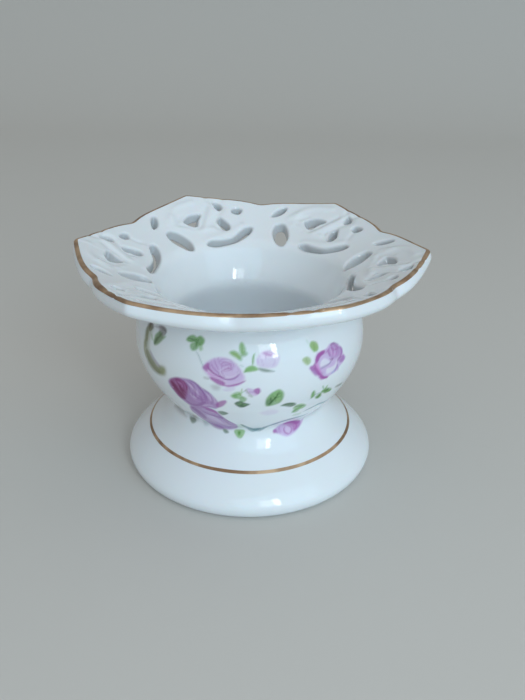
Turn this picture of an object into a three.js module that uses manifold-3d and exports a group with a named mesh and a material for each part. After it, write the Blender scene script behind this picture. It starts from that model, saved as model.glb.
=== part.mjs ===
// Porcelain candle holder: a flared foot, a bulbous bowl and a lobed, pierced rim with gilt lines.
// Millimetres, +Z up. The origin is the centre of the standing ring, on the surface it stands on.
// The tip of one rim lobe points along +X.

import * as THREE from "three";
import { mergeVertices } from "three/addons/utils/BufferGeometryUtils.js";
import Module from "manifold-3d";

const wasm = await Module();
wasm.setup();

// Foot
const footRadius = 43;
const footEdgeHeight = 4;
const standingRadius = 39.5;
const standingWidth = 3.5;
const footWall = 4.5;
const footLineRadius = 35;
const footLineHeight = 13.2;
const footLineSlope = 43;
const waistRadius = 27.2;
const waistHeight = 24.5;

// Bowl
const equatorRadius = 38;
const equatorHeight = 46.8;
const lowerFullness = 1.9;
const upperFullness = 2.4;
const bowlWall = 4.2;
const floorThickness = 4.7;
const floorRounding = 3;

// Rim
const lobeCount = 6;
const tipRadius = 57;
const tipHeight = 77.1;
const notchRadius = 50.1;
const tipSweep = 20;
const notchSweep = 28;
const flangeSlope = 22.5;
const flangeWall = 3.7;
const throatRadius = 25.3;
const throatDepth = 8.9;
const throatLean = 24;
const throatRounding = 8;
const throatEdge = 1.8;
const throatUndercut = 22;
const neckWall = 2.95;
const collarHeight = 0.4;
const lipDepthAtTip = 4.9;
const lipDepthAtNotch = 5.4;
const lipFlareAtNotch = 1.5;
const lipRounding = 0.9;
const lipWidth = 2.8;

// Gilding
const footLineWidth = 1.1;
const rimLineInset = 0.45;
const rimLineDrop = 1;
const gildingThickness = 0.25;
const gildingClearance = 0.1;

// The castings are luted together with a thin bed of slip.
const slipJoint = 0.3;

// Facets
const lathePieces = 54;
const curvePieces = 6;
const throatPieces = 3;
const holePieces = 4;

const radians = THREE.MathUtils.degToRad;
const point = (r, z) => new THREE.Vector2(r, z);

// Heights of the flange's two faces at a distance from the axis
const slope = Math.tan(radians(flangeSlope));
const flangeTop = (r) => tipHeight - slope * (tipRadius - r);
const flangeUnder = (r) => flangeTop(r) - flangeWall / Math.cos(radians(flangeSlope));

// The rim and the bowl part at the neck, which is a wall's width outside the funnel of the throat.
const lean = Math.tan(radians(throatLean));
const neckRadius = throatRadius + lean * throatDepth + neckWall;
const rimBase = flangeUnder(neckRadius) - collarHeight;
const mouthHeight = rimBase - slipJoint;
const throatHeight = rimBase - throatDepth;
const bowlBase = waistHeight + slipJoint;
const floorHeight = bowlBase + floorThickness;

// Radius of the funnel, and of the undercut below its narrowest place, at a height
const funnelRadius = (z) => throatRadius + lean * (z - throatHeight);
const undercutRadius = (z) => throatRadius + Math.tan(radians(throatUndercut)) * (throatHeight - z);

// The flange runs into the funnel over an arc, drawn about a point under the corner where they meet.
const cornerHeight = (flangeTop(0) + slope * funnelRadius(0)) / (1 - slope * lean);
const throatTurn = 90 - throatLean - flangeSlope;
const throatCentre = along(
  point(funnelRadius(cornerHeight), cornerHeight),
  270 + flangeSlope + throatTurn / 2,
  throatRounding / Math.cos(radians(throatTurn / 2)),
);

function bezier(...corners) {
  return new THREE.CubicBezierCurve(...corners).getPoints(curvePieces);
}

function along(start, degrees, distance) {
  const angle = radians(degrees);
  return point(start.x + distance * Math.cos(angle), start.y + distance * Math.sin(angle));
}

function throatArc() {
  return Array.from({ length: throatPieces + 1 }, (_, i) =>
    along(throatCentre, 90 + flangeSlope + (throatTurn * i) / throatPieces, throatRounding));
}

// The narrowest place of the throat, rounded between the funnel above and the undercut below
function narrowing() {
  return new THREE.QuadraticBezierCurve(
    point(funnelRadius(throatHeight + throatEdge), throatHeight + throatEdge),
    point(throatRadius, throatHeight),
    point(undercutRadius(throatHeight - throatEdge), throatHeight - throatEdge),
  ).getPoints(throatPieces);
}

// The same line moved square to itself towards the inside of the wall
function inset(line, wall) {
  return line.map((p, i) => {
    const before = line[Math.max(i - 1, 0)];
    const after = line[Math.min(i + 1, line.length - 1)];
    const run = after.clone().sub(before).normalize();
    return point(p.x - wall * run.y, p.y + wall * run.x);
  });
}

function turned(profile) {
  return new THREE.LatheGeometry(profile, lathePieces).rotateX(Math.PI / 2);
}

// Foot: a flared pedestal, hollow underneath, with a bare ring that it stands on
const footLine = point(footLineRadius, footLineHeight);
const lineLower = along(footLine, -footLineSlope, footLineWidth / 2);
const lineUpper = along(footLine, 180 - footLineSlope, footLineWidth / 2);

function makeFoot() {
  const underRoll = bezier(
    point(standingRadius, 0),
    point(standingRadius + 0.55 * (footRadius - standingRadius), 0),
    point(footRadius, 0.45 * footEdgeHeight),
    point(footRadius, footEdgeHeight),
  );
  const baseRoll = bezier(
    point(footRadius, footEdgeHeight),
    point(footRadius, footEdgeHeight + 0.28 * (footLineHeight - footEdgeHeight)),
    along(lineLower, -footLineSlope, 0.4 * (footRadius - footLineRadius)),
    lineLower,
  );
  const flare = bezier(
    lineUpper,
    along(lineUpper, 180 - footLineSlope, 0.5 * (footLineRadius - waistRadius)),
    point(waistRadius + 0.1 * (footLineRadius - waistRadius), waistHeight - 0.5 * (waistHeight - footLineHeight)),
    point(waistRadius, waistHeight),
  );
  const crownUnder = waistHeight - footWall;
  const hollow = inset([...baseRoll, ...flare], footWall)
    .filter((p) => p.y < crownUnder - 0.3 * footWall)
    .reverse();
  return turned([
    point(0, crownUnder),
    point(hollow[0].x - 0.4 * footWall, crownUnder),
    ...hollow,
    point(standingRadius - standingWidth, 0),
    ...underRoll,
    ...baseRoll.slice(1),
    ...flare,
    point(0, waistHeight),
  ]);
}

// Bowl: a full round body that springs from the waist and closes in again under the rim
function bowlRadius(z) {
  if (z < equatorHeight) {
    const t = (equatorHeight - z) / (equatorHeight - bowlBase);
    return equatorRadius - (equatorRadius - waistRadius) * t ** lowerFullness;
  }
  const t = (z - equatorHeight) / (mouthHeight - equatorHeight);
  return equatorRadius - (equatorRadius - neckRadius) * t ** upperFullness;
}

function makeBowl() {
  const steps = 2 * curvePieces;
  const outside = Array.from({ length: steps + 1 }, (_, i) => {
    const z = THREE.MathUtils.lerp(bowlBase, mouthHeight, i / steps);
    return point(bowlRadius(z), z);
  });
  const inside = inset(outside, bowlWall)
    .filter((p) => p.y > floorHeight + floorRounding && p.x < undercutRadius(p.y))
    .reverse();
  return turned([
    point(0, bowlBase),
    ...outside,
    point(funnelRadius(mouthHeight), mouthHeight),
    ...narrowing(),
    ...inside,
    point(inside[inside.length - 1].x - floorRounding, floorHeight),
    point(0, floorHeight),
  ]);
}

// Rim: one half of a lobe is a curve from its tip to the notch, and the other half mirrors it.
function lobeOutline() {
  const half = Math.PI / lobeCount;
  const tip = point(tipRadius, 0);
  const notch = point(notchRadius * Math.cos(half), notchRadius * Math.sin(half));
  const chord = tip.distanceTo(notch);
  const curve = new THREE.CubicBezierCurve(
    tip,
    along(tip, 90 + tipSweep, 0.53 * chord),
    along(notch, THREE.MathUtils.radToDeg(half) - 90 + notchSweep, 0.21 * chord),
    notch,
  );
  return curve.getPoints(curvePieces);
}

function rimStations() {
  const outline = lobeOutline();
  const mirrored = outline.slice(1, -1).reverse().map((p) => point(p.x, -p.y));
  const lobe = [...mirrored, ...outline];
  const stations = [];
  for (let k = 0; k < lobeCount; k += 1) {
    for (const p of lobe) {
      stations.push({ angle: Math.atan2(p.y, p.x) + (2 * Math.PI * k) / lobeCount, radius: p.length() });
    }
  }
  return stations;
}

// A closed ring: a section is worked out for each station of the rim's outline and joined to the next.
function lobedRing(section) {
  const stations = rimStations();
  const rings = stations.map(({ angle, radius }) =>
    section(radius).map((p) => [p.x * Math.cos(angle), p.x * Math.sin(angle), p.y]));
  const count = rings[0].length;
  const index = [];
  for (let i = 0; i < rings.length; i += 1) {
    const a = i * count;
    const b = ((i + 1) % rings.length) * count;
    for (let j = 0; j < count; j += 1) {
      const next = (j + 1) % count;
      index.push(a + j, b + j, b + next, a + j, b + next, a + next);
    }
  }
  const geometry = new THREE.BufferGeometry();
  geometry.setAttribute("position", new THREE.Float32BufferAttribute(rings.flat(2), 3));
  geometry.setIndex(index);
  return geometry;
}

// The lip's upper edge is turned down a little, and the gilt line lies on that bevel.
function rimBevel(radius) {
  const height = flangeTop(radius - rimLineInset);
  return [point(radius, height - rimLineDrop), point(radius - rimLineInset, height)];
}

function rimSection(radius) {
  const notchShare = (tipRadius - radius) / (tipRadius - notchRadius);
  const lipDepth = THREE.MathUtils.lerp(lipDepthAtTip, lipDepthAtNotch, notchShare);
  const lowRadius = radius + lipFlareAtNotch * notchShare;
  const [lineLow, lineHigh] = rimBevel(radius);
  const low = lineHigh.y - lipDepth;
  const innerLip = radius - lipWidth;
  return [
    point(neckRadius, rimBase),
    point(neckRadius + collarHeight, flangeUnder(neckRadius + collarHeight)),
    point(innerLip - lipRounding, flangeUnder(innerLip - lipRounding)),
    point(innerLip, Math.min(low, flangeUnder(innerLip) - 0.1)),
    point(lowRadius - lipRounding, low),
    point(lowRadius, low + lipRounding),
    lineLow,
    lineHigh,
    ...throatArc(),
    point(funnelRadius(rimBase), rimBase),
  ];
}

// Piercings: the pattern of one lobe, drawn for a flange of these widths from neck to notch and from
// neck to tip. out is the distance from the neck, bearing the degrees from the lobe's tip, and turn the
// lean of the opening's long way from the radius. All lobes carry the pattern the same way round.
const patternWidth = 17.9;
const patternLength = 24.8;
const openings = [
  { shape: "leaf", out: 4.2, bearing: 16.6, turn: 36, long: 11.6, wide: 5.6 },
  { shape: "oval", out: 14.7, bearing: 21.3, turn: -23, long: 6.6, wide: 2.7 },
  { shape: "triangle", out: 12.2, bearing: 2.6, turn: 84, long: 6.6, wide: 5.2 },
  { shape: "crescent", out: 1.9, bearing: -13.6, turn: 5, long: 17, wide: 3.4 },
  { shape: "drop", out: 8.3, bearing: -11, turn: 8, long: 6.8, wide: 3.5 },
  { shape: "oval", out: 14.5, bearing: -18.8, turn: 66, long: 4.4, wide: 2.4 },
  { shape: "oval", out: 17, bearing: -11.2, turn: 15, long: 4.2, wide: 1.8 },
];

// Outlines of the openings about their own middles, long way along x
const outlines = {
  oval(long, wide) {
    return new THREE.Shape().absellipse(0, 0, long / 2, wide / 2, 0, 2 * Math.PI, false, 0);
  },
  leaf(long, wide) {
    const [a, b] = [long / 2, wide / 2];
    return new THREE.Shape()
      .moveTo(-a, 0)
      .bezierCurveTo(-0.85 * a, -1.2 * b, 0.55 * a, -1.45 * b, a, 0)
      .bezierCurveTo(0.85 * a, 1.2 * b, -0.55 * a, 1.45 * b, -a, 0);
  },
  drop(long, wide) {
    const [a, b] = [long / 2, wide / 2];
    return new THREE.Shape()
      .moveTo(a, 0)
      .bezierCurveTo(0.2 * a, 0.5 * b, -0.2 * a, b, -0.5 * a, b)
      .bezierCurveTo(-1.17 * a, b, -1.17 * a, -b, -0.5 * a, -b)
      .bezierCurveTo(-0.2 * a, -b, 0.2 * a, -0.5 * b, a, 0);
  },
  triangle(long, wide) {
    const [a, b] = [long / 2, wide / 2];
    return new THREE.Shape()
      .moveTo(a, 0)
      .bezierCurveTo(0.3 * a, 0.75 * b, -0.5 * a, 1.25 * b, -a, b)
      .bezierCurveTo(-1.05 * a, 0.5 * b, -0.7 * a, -0.5 * b, -a, -b)
      .bezierCurveTo(-0.5 * a, -1.25 * b, 0.3 * a, -0.75 * b, a, 0);
  },
  // Ends turn outwards, like a smile seen from the axis; x runs across the lobe here
  crescent(long, wide) {
    const [a, b] = [long / 2, wide / 2];
    const lift = 0.42 * a;
    return new THREE.Shape()
      .moveTo(b + lift, -a)
      .bezierCurveTo(b + 0.25 * lift, -0.45 * a, b, 0.35 * a, b + 0.55 * lift, a)
      .bezierCurveTo(lift, 1.12 * a, -b + 0.55 * lift, 0.95 * a, -b + 0.2 * lift, 0.75 * a)
      .bezierCurveTo(-b - 0.35 * lift, 0.3 * a, -b - 0.15 * lift, -0.5 * a, -b + 0.55 * lift, -0.9 * a)
      .bezierCurveTo(-b + lift, -1.12 * a, lift, -1.15 * a, b + lift, -a);
  },
};

// A cutter stands square to the sloping flange and goes right through it.
function cutter({ shape, out, bearing, turn, long, wide }, lobe) {
  const lobeAngle = 360 / lobeCount;
  const size = Math.min(
    (notchRadius - neckRadius) / patternWidth,
    (tipRadius - neckRadius) / patternLength,
    6 / lobeCount,
  );
  const spare = flangeWall;
  const outline = outlines[shape](long * size, wide * size);
  const geometry = new THREE.ExtrudeGeometry(outline, {
    depth: flangeWall + 2 * spare,
    curveSegments: shape === "crescent" ? holePieces + 1 : holePieces,
    bevelEnabled: false,
  });
  geometry.translate(0, 0, -flangeWall - spare);
  geometry.rotateZ(radians(turn));
  geometry.rotateY(-radians(flangeSlope));
  const radius = neckRadius + out * ((notchRadius - neckRadius) / patternWidth);
  geometry.translate(radius, 0, flangeTop(radius));
  geometry.rotateZ(radians(lobe * lobeAngle + (bearing * lobeAngle) / 60));
  return geometry;
}

function toSolid(geometry) {
  const bare = geometry.clone();
  bare.deleteAttribute("normal");
  bare.deleteAttribute("uv");
  const merged = mergeVertices(bare, 1e-4);
  return new wasm.Manifold(new wasm.Mesh({
    numProp: 3,
    vertProperties: new Float32Array(merged.attributes.position.array),
    triVerts: new Uint32Array(merged.index.array),
  }));
}

function toGeometry(solid) {
  const mesh = solid.getMesh();
  const geometry = new THREE.BufferGeometry();
  geometry.setAttribute("position", new THREE.BufferAttribute(mesh.vertProperties, 3));
  geometry.setIndex(new THREE.BufferAttribute(mesh.triVerts, 1));
  return geometry;
}

function makeRim() {
  let rim = toSolid(lobedRing(rimSection));
  for (let lobe = 0; lobe < lobeCount; lobe += 1) {
    for (const opening of openings) {
      rim = rim.subtract(toSolid(cutter(opening, lobe)));
    }
  }
  return toGeometry(rim);
}

// Gilt lines: thin bands that lie just clear of the glaze
function makeRimLine() {
  const square = THREE.MathUtils.radToDeg(Math.atan2(rimLineInset, rimLineDrop));
  const low = gildingClearance;
  const high = gildingClearance + gildingThickness;
  return lobedRing((radius) => {
    const [lineLow, lineHigh] = rimBevel(radius);
    return [
      along(lineLow, square, low),
      along(lineLow, square, high),
      along(lineHigh, square, high),
      along(lineHigh, square, low),
    ];
  });
}

function makeFootLine() {
  const square = 90 - footLineSlope;
  const low = gildingClearance;
  const high = gildingClearance + gildingThickness;
  return turned([
    along(lineLower, square, low),
    along(lineLower, square, high),
    along(lineUpper, square, high),
    along(lineUpper, square, low),
    along(lineLower, square, low),
  ]);
}

const glaze = () => new THREE.MeshStandardMaterial({ color: 0xe6ecef, roughness: 0.12, metalness: 0 });
const gilt = () => new THREE.MeshStandardMaterial({ color: 0xa87a3c, roughness: 0.3, metalness: 1 });

function piece(name, geometry, material) {
  const mesh = new THREE.Mesh(geometry, material);
  mesh.name = name;
  return mesh;
}

const candlestick = new THREE.Group();
candlestick.add(
  piece("foot", makeFoot(), glaze()),
  piece("bowl", makeBowl(), glaze()),
  piece("pierced_rim", makeRim(), glaze()),
  piece("rim_gilding", makeRimLine(), gilt()),
  piece("foot_gilding", makeFootLine(), gilt()),
);

export default candlestick;
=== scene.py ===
# %% [markdown]
# A porcelain candle holder: a flared foot, a round bowl with a rose print, and a wide lobed rim
# that is pierced and edged with gold. The measured solids come first. They fix every size, and the
# fine glazed surfaces in the next cells are laid over them. All shapes are worked out in
# millimetres and written into Blender in metres.

import math

import bmesh
import bpy
import numpy as np
import openvdb
from mathutils import Matrix, Vector


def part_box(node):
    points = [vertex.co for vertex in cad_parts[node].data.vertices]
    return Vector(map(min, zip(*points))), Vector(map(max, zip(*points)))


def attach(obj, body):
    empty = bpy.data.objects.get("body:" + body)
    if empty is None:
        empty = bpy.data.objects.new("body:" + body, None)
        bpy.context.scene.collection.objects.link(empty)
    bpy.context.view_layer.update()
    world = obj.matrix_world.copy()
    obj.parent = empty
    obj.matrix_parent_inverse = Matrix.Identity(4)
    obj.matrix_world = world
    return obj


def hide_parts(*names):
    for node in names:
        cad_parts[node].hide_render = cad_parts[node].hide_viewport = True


MM = 0.001

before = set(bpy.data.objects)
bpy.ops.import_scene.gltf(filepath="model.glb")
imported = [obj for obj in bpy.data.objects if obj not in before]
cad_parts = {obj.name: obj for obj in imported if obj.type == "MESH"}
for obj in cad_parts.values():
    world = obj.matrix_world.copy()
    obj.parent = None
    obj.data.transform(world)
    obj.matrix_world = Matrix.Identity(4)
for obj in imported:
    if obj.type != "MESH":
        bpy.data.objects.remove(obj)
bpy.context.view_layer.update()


def reach(node):
    """How far a measured piece reaches from the axis, and its lowest and highest points, in mm."""
    low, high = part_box(node)
    sides = [-low.x, -low.y, high.x, high.y]
    return max(sides) / MM, low.z / MM, high.z / MM


foot_radius, _, waist_height = reach("foot")
equator_radius, _, _ = reach("bowl")
tip_radius, _, rim_top = reach("pierced_rim")
print(f"from the axis to foot {foot_radius:.1f}, bowl {equator_radius:.1f}, rim tips {tip_radius:.1f} mm")
print(f"from the ground to waist {waist_height:.1f}, rim {rim_top:.1f} mm")

# %% [markdown]
# The camera stands where the picture was taken from: about 28 cm away, a little to the right of a
# notch of the rim, looking down at 27 degrees. So near, the perspective is strong, and only a camera
# at the true distance gives the true ellipses.

# %% Set up the camera
EYE = (19.06, -229.05, 155.7)
LOOK_DOWN, LOOK_ACROSS, ROLL = 26.94, 3.67, 0.49
FOCAL_LENGTH, SENSOR_HEIGHT = 38.74, 36.0
NEAREST_SEEN = 0.01

camera_data = bpy.data.cameras.new("camera")
camera_data.sensor_fit = "VERTICAL"
camera_data.sensor_height = SENSOR_HEIGHT
camera_data.lens = FOCAL_LENGTH
camera_data.clip_start = NEAREST_SEEN
camera = bpy.data.objects.new("camera", camera_data)
bpy.context.scene.collection.objects.link(camera)
camera.matrix_world = (
    Matrix.Translation([v * MM for v in EYE])
    @ Matrix.Rotation(math.radians(LOOK_ACROSS), 4, "Z")
    @ Matrix.Rotation(math.radians(90 - LOOK_DOWN), 4, "X")
    @ Matrix.Rotation(math.radians(ROLL), 4, "Z")
)
bpy.context.scene.camera = camera
bpy.context.scene.view_settings.view_transform = "Standard"
print("camera at", EYE, "mm")

# %% [markdown]
# White porcelain needs something to stand out from, so the floor is a pale warm grey. It curves up
# into a backdrop, so that the glaze mirrors no hard edge from behind.


# %% Build the floor
PALE_FLOOR, FLOOR_ROUGHNESS = (0.59, 0.57, 0.535, 1), 0.75


def floor_material():
    material = bpy.data.materials.new("pale_floor")
    material.use_nodes = True
    shader = material.node_tree.nodes["Principled BSDF"]
    shader.inputs["Base Color"].default_value = PALE_FLOOR
    shader.inputs["Roughness"].default_value = FLOOR_ROUGHNESS
    return material


def build_floor(width=2.4, front=-0.9, bend=0.55, rise=1.2, bend_radius=0.35, steps=12):
    """A flat sheet that curves up into a backdrop, in metres."""
    line = [(front, 0.0), (bend, 0.0)]
    for i in range(1, steps + 1):
        angle = math.radians(90 * i / steps)
        line.append((bend + bend_radius * math.sin(angle), bend_radius * (1 - math.cos(angle))))
    line.append((bend + bend_radius, rise))
    points = [(side * width / 2, y, z) for y, z in line for side in (-1, 1)]
    faces = [(2 * i, 2 * i + 1, 2 * i + 3, 2 * i + 2) for i in range(len(line) - 1)]
    mesh = bpy.data.meshes.new("floor")
    mesh.from_pydata(points, [], faces)
    mesh.polygons.foreach_set("use_smooth", [True] * len(faces))
    floor = bpy.data.objects.new("floor", mesh)
    bpy.context.scene.collection.objects.link(floor)
    mesh.materials.append(floor_material())
    return floor


floor = build_floor()
print("floor:", len(floor.data.polygons), "faces")

# %% [markdown]
# Glaze shows its lamps as mirror images, so their shapes matter as much as their strength. A window
# of two panes, one brighter than the other, stands behind the camera on the right: its small sharp
# image is what makes the glaze look wet. A wide soft lamp behind it does the lighting, and a sky
# that gets lighter towards the zenith fills the rest.

# %% Set up the lamps and the sky
PANE_LIGHT, SHADED_LIGHT = (0.90, 0.96, 1.0), (0.44, 0.76, 1.0)
SKY_COLOR, SKY_STRENGTH = (0.90, 0.92, 0.92, 1), 0.74
# The sky is strongest in one direction. Strength falls off with the cosine of the angle from it,
# and the cosine at which nothing is left is below zero, so light also comes from the sides.
BRIGHTEST_WAY, DARK_COSINE = (0.24, -0.06, 0.97), -0.7


def area_lamp(name, place, size, watts, color, target=(0, 0, 0.045)):
    data = bpy.data.lights.new(name, "AREA")
    data.shape = "RECTANGLE"
    data.size, data.size_y = size
    data.energy = watts
    data.color = color
    lamp = bpy.data.objects.new(name, data)
    bpy.context.scene.collection.objects.link(lamp)
    lamp.location = place
    aim = Vector(place) - Vector(target)
    lamp.rotation_euler = aim.to_track_quat("Z", "Y").to_euler()
    return lamp


def build_sky():
    world = bpy.data.worlds.new("sky")
    bpy.context.scene.world = world
    world.use_nodes = True
    nodes, links = world.node_tree.nodes, world.node_tree.links
    sky = nodes["Background"]
    sky.inputs["Color"].default_value = SKY_COLOR
    towards = nodes.new("ShaderNodeVectorMath")
    towards.operation = "DOT_PRODUCT"
    towards.inputs[1].default_value = BRIGHTEST_WAY
    climb = nodes.new("ShaderNodeMapRange")
    climb.inputs["From Min"].default_value = DARK_COSINE
    climb.inputs["To Min"].default_value = 0.0
    climb.inputs["To Max"].default_value = SKY_STRENGTH
    links.new(nodes.new("ShaderNodeTexCoord").outputs["Generated"], towards.inputs[0])
    links.new(towards.outputs["Value"], climb.inputs["Value"])
    links.new(climb.outputs["Result"], sky.inputs["Strength"])


# Each lamp: name, place and size in metres, watts, colour
area_lamp("near_pane", (0.274, -0.508, 0.283), (0.055, 0.27), 0.56, PANE_LIGHT)
area_lamp("far_pane", (0.191, -0.543, 0.283), (0.11, 0.27), 0.26, PANE_LIGHT)
area_lamp("soft_key", (0.71, -1.27, 0.70), (2.2, 1.4), 12.0, SHADED_LIGHT)
build_sky()
print("lamps:", [light.name for light in bpy.data.lights])

# %% [markdown]
# Every shape here starts as a line with few corners. Either the corners in the middle pull at the
# curve, as in bezier, or it runs through all of them, as in smooth_line. Its points are then spread
# evenly, because even faces mirror the lamps without kinks.


# %% Curves from a few corners
def heading(degrees):
    return np.array([math.cos(math.radians(degrees)), math.sin(math.radians(degrees))])


def bezier(a, b, c, d, count):
    t = np.linspace(0, 1, count)[:, None]
    a, b, c, d = (np.asarray(v, float) for v in (a, b, c, d))
    return (1 - t) ** 3 * a + 3 * (1 - t) ** 2 * t * b + 3 * (1 - t) * t * t * c + t**3 * d


def smooth_line(corners, pieces=8, closed=False):
    """A soft curve through all the corners."""
    p = np.asarray(corners, float)
    if closed:
        p = np.vstack([p[-1], p, p[:2]])
    else:
        p = np.vstack([2 * p[0] - p[1], p, 2 * p[-1] - p[-2]])
    t = np.linspace(0, 1, pieces, endpoint=False)[:, None]
    out = []
    for a, b, c, d in zip(p, p[1:], p[2:], p[3:]):
        bend, twist = 2 * a - 5 * b + 4 * c - d, 3 * b - a - 3 * c + d
        out.append(0.5 * (2 * b + (c - a) * t + bend * t * t + twist * t**3))
    if not closed:
        out.append(p[-2:-1])
    return np.vstack(out)


def length_along(line):
    """Distance from the start of a line to each of its points."""
    return np.concatenate([[0], np.cumsum(np.hypot(*np.diff(line, axis=0).T))])


def respace(line, step):
    """The same curve with its points about step apart."""
    line = np.asarray(line, float)
    run = length_along(line)
    at = np.linspace(0, run[-1], max(2, int(round(run[-1] / step)) + 1))
    return np.stack([np.interp(at, run, line[:, 0]), np.interp(at, run, line[:, 1])], 1)


quarter_turn = bezier((1, 0), (1, 0.55), (0.55, 1), (0, 1), 40)
print(f"a quarter turn of radius 1 is {length_along(quarter_turn)[-1]:.3f} long")

# %% [markdown]
# A turned mesh takes runs of profile points, and each run carries its own surface directions. So a
# surface that is soft with glaze stays soft and a cut edge stays sharp, whatever the facets are.

# %% Meshes with their own surface directions
# A point nearer to the axis than this, in mm, lies on it and is made only once
axis_reach = 1e-6


def run_of(line):
    """A profile run: points (distance from the axis, height) and the directions that they face.
    Walking along the run, the surface faces to the right."""
    line = np.asarray(line, float)
    along = np.gradient(line, axis=0)
    along /= np.hypot(*along.T)[:, None]
    return line, np.stack([along[:, 1], -along[:, 0]], 1)


def make_object(name, points, faces, corner_facing, material):
    """Writes a mesh in metres, with one given surface direction for each corner of each face."""
    mesh = bpy.data.meshes.new(name)
    mesh.from_pydata(np.asarray(points) * MM, [], faces)
    mesh.validate()
    mesh.polygons.foreach_set("use_smooth", [True] * len(mesh.polygons))
    mesh.normals_split_custom_set(corner_facing)
    mesh.materials.append(material)
    piece = bpy.data.objects.new(name, mesh)
    bpy.context.scene.collection.objects.link(piece)
    return piece


def turn(name, runs, bearings, material):
    """Turns a closed profile, given as runs that follow each other, round the Z axis.
    A profile may start and end on the axis. bearings are the angles of the columns, in radians."""
    rings, rows = [], []
    for line, facing in runs:
        if not rings:
            rings.append(line[0])
        for i in range(1, len(line)):
            rings.append(line[i])
            rows.append((len(rings) - 2, len(rings) - 1, facing[i - 1], facing[i]))
    if np.allclose(rings[0], rings[-1]):
        rings.pop()
        rows[-1] = (rows[-1][0], 0, *rows[-1][2:])
    count = len(bearings)
    cos, sin = np.cos(bearings), np.sin(bearings)
    points, first = [], []
    for r, z in rings:
        first.append(len(points))
        if r < axis_reach:
            points.append((0, 0, z))
        else:
            points.extend(zip(r * cos, r * sin, np.full(count, z)))
    faces, corner_facing = [], []
    for a, b, face_a, face_b in rows:
        pole_a, pole_b = rings[a][0] < axis_reach, rings[b][0] < axis_reach
        for i in range(count):
            j = (i + 1) % count
            corners = [] if pole_a else [(first[a] + i, face_a, i)]
            corners.append((first[a] + (0 if pole_a else j), face_a, j))
            if not pole_b:
                corners.append((first[b] + j, face_b, j))
            corners.append((first[b] + (0 if pole_b else i), face_b, i))
            faces.append([c[0] for c in corners])
            corner_facing.extend((f[0] * cos[k], f[0] * sin[k], f[1]) for _, f, k in corners)
    return make_object(name, points, faces, corner_facing, material)


_, upright_facing = run_of([(10, 0), (10, 1)])
print(f"a run that rises faces outwards: {upright_facing[0, 0]:.0f}")

# %% [markdown]
# The form of the turned parts, from the potter's side: a foot that rolls in at the ground and flares
# up to the waist, a bowl that swells to its equator and closes in under the rim, and a throat that
# rolls over from the sloping flange into the bowl. The wall is about four millimetres all through.

# %% Sizes of foot, bowl and throat
foot_edge_height = 4.0
standing_radius, standing_width = 39.5, 3.5
foot_line_radius, foot_line_height, foot_line_slope = 35.0, 13.2, 43.0
waist_radius = 27.2
wall = 4.2
equator_height, lower_fullness, upper_fullness = 46.8, 1.9, 2.4
floor_height, floor_rounding = 29.5, 3.0
flange_slope, flange_wall = 22.5, 3.7
edge_inset = 0.45
tip_height = rim_top + edge_inset * math.tan(math.radians(flange_slope))
neck_radius = 32.2
funnel_radius, funnel_lean, funnel_rounding = 29.35, 29.5, 7.0
throat_radius, throat_height, throat_undercut = 25.3, 53.5, 22.0
waist_seam = waist_height + 0.15
rim_seam = 62.3

up_slope = np.array([math.cos(math.radians(flange_slope)), math.sin(math.radians(flange_slope))])
off_slope = np.array([-up_slope[1], up_slope[0]])


def flange_top(r):
    return tip_height - (tip_radius - r) * up_slope[1] / up_slope[0]


up_funnel = np.array([math.sin(math.radians(funnel_lean)), math.cos(math.radians(funnel_lean))])
off_funnel = np.array([-up_funnel[1], up_funnel[0]])
# The flange meets the funnel in a corner, which is rounded about a point under it
funnel_spread, flange_climb = up_funnel[0] / up_funnel[1], up_slope[1] / up_slope[0]
rise_to_corner = (flange_top(funnel_radius) - rim_seam) / (1 - funnel_spread * flange_climb)
corner = np.array([funnel_radius + rise_to_corner * funnel_spread, rim_seam + rise_to_corner])
middle_way = off_slope + off_funnel
corner_centre = corner - funnel_rounding * middle_way / (1 + off_slope @ off_funnel)


def bowl_radius(z):
    below = np.clip((equator_height - z) / (equator_height - waist_seam), 0, None)
    above = np.clip((z - equator_height) / (rim_seam - equator_height), 0, None)
    shrink = (equator_radius - waist_radius) * below**lower_fullness
    return equator_radius - shrink - (equator_radius - neck_radius) * above**upper_fullness


print(f"the funnel starts at {corner.round(1)}, the neck is {neck_radius:.1f} mm from the axis")

# %% [markdown]
# The rim is the hard piece. A potter presses it from a mould and cuts the openings by hand, then the
# glaze melts and softens every edge. Extruded cut-outs would leave knife edges, so the rim is made
# as a distance field instead: a function that says how far any point is from the glazed surface.
# Fields can be joined and cut with a rounding of exactly the radius that glaze has.

# %% Outline of one lobe
lobes = 6
notch_radius = 50.1
tip_sweep, notch_sweep = 20.0, 28.0
tip_softness, notch_softness = 0.9, 1.6

half_turn = 180 / lobes
tip = np.array([tip_radius, 0.0])
notch = notch_radius * heading(half_turn)
chord = np.hypot(*(tip - notch))
half_lobe = bezier(
    tip,
    tip + 0.53 * chord * heading(90 + tip_sweep),
    notch + 0.21 * chord * heading(half_turn - 90 + notch_sweep),
    notch,
    48,
)
outline_bearing = np.degrees(np.arctan2(half_lobe[:, 1], half_lobe[:, 0]))
outline_radius = np.hypot(*half_lobe.T)
print(f"outline from {notch_radius} at the notches to {tip_radius:.1f} mm at the tips")

# %% [markdown]
# The distance to an outline is slow to work out, so it is worked out once, over a table of places
# in the plan of one lobe, and read from there. The plan is folded along the lobe's middle and along
# its edge. The folds are soft, which rounds the tips and the notches.


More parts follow.
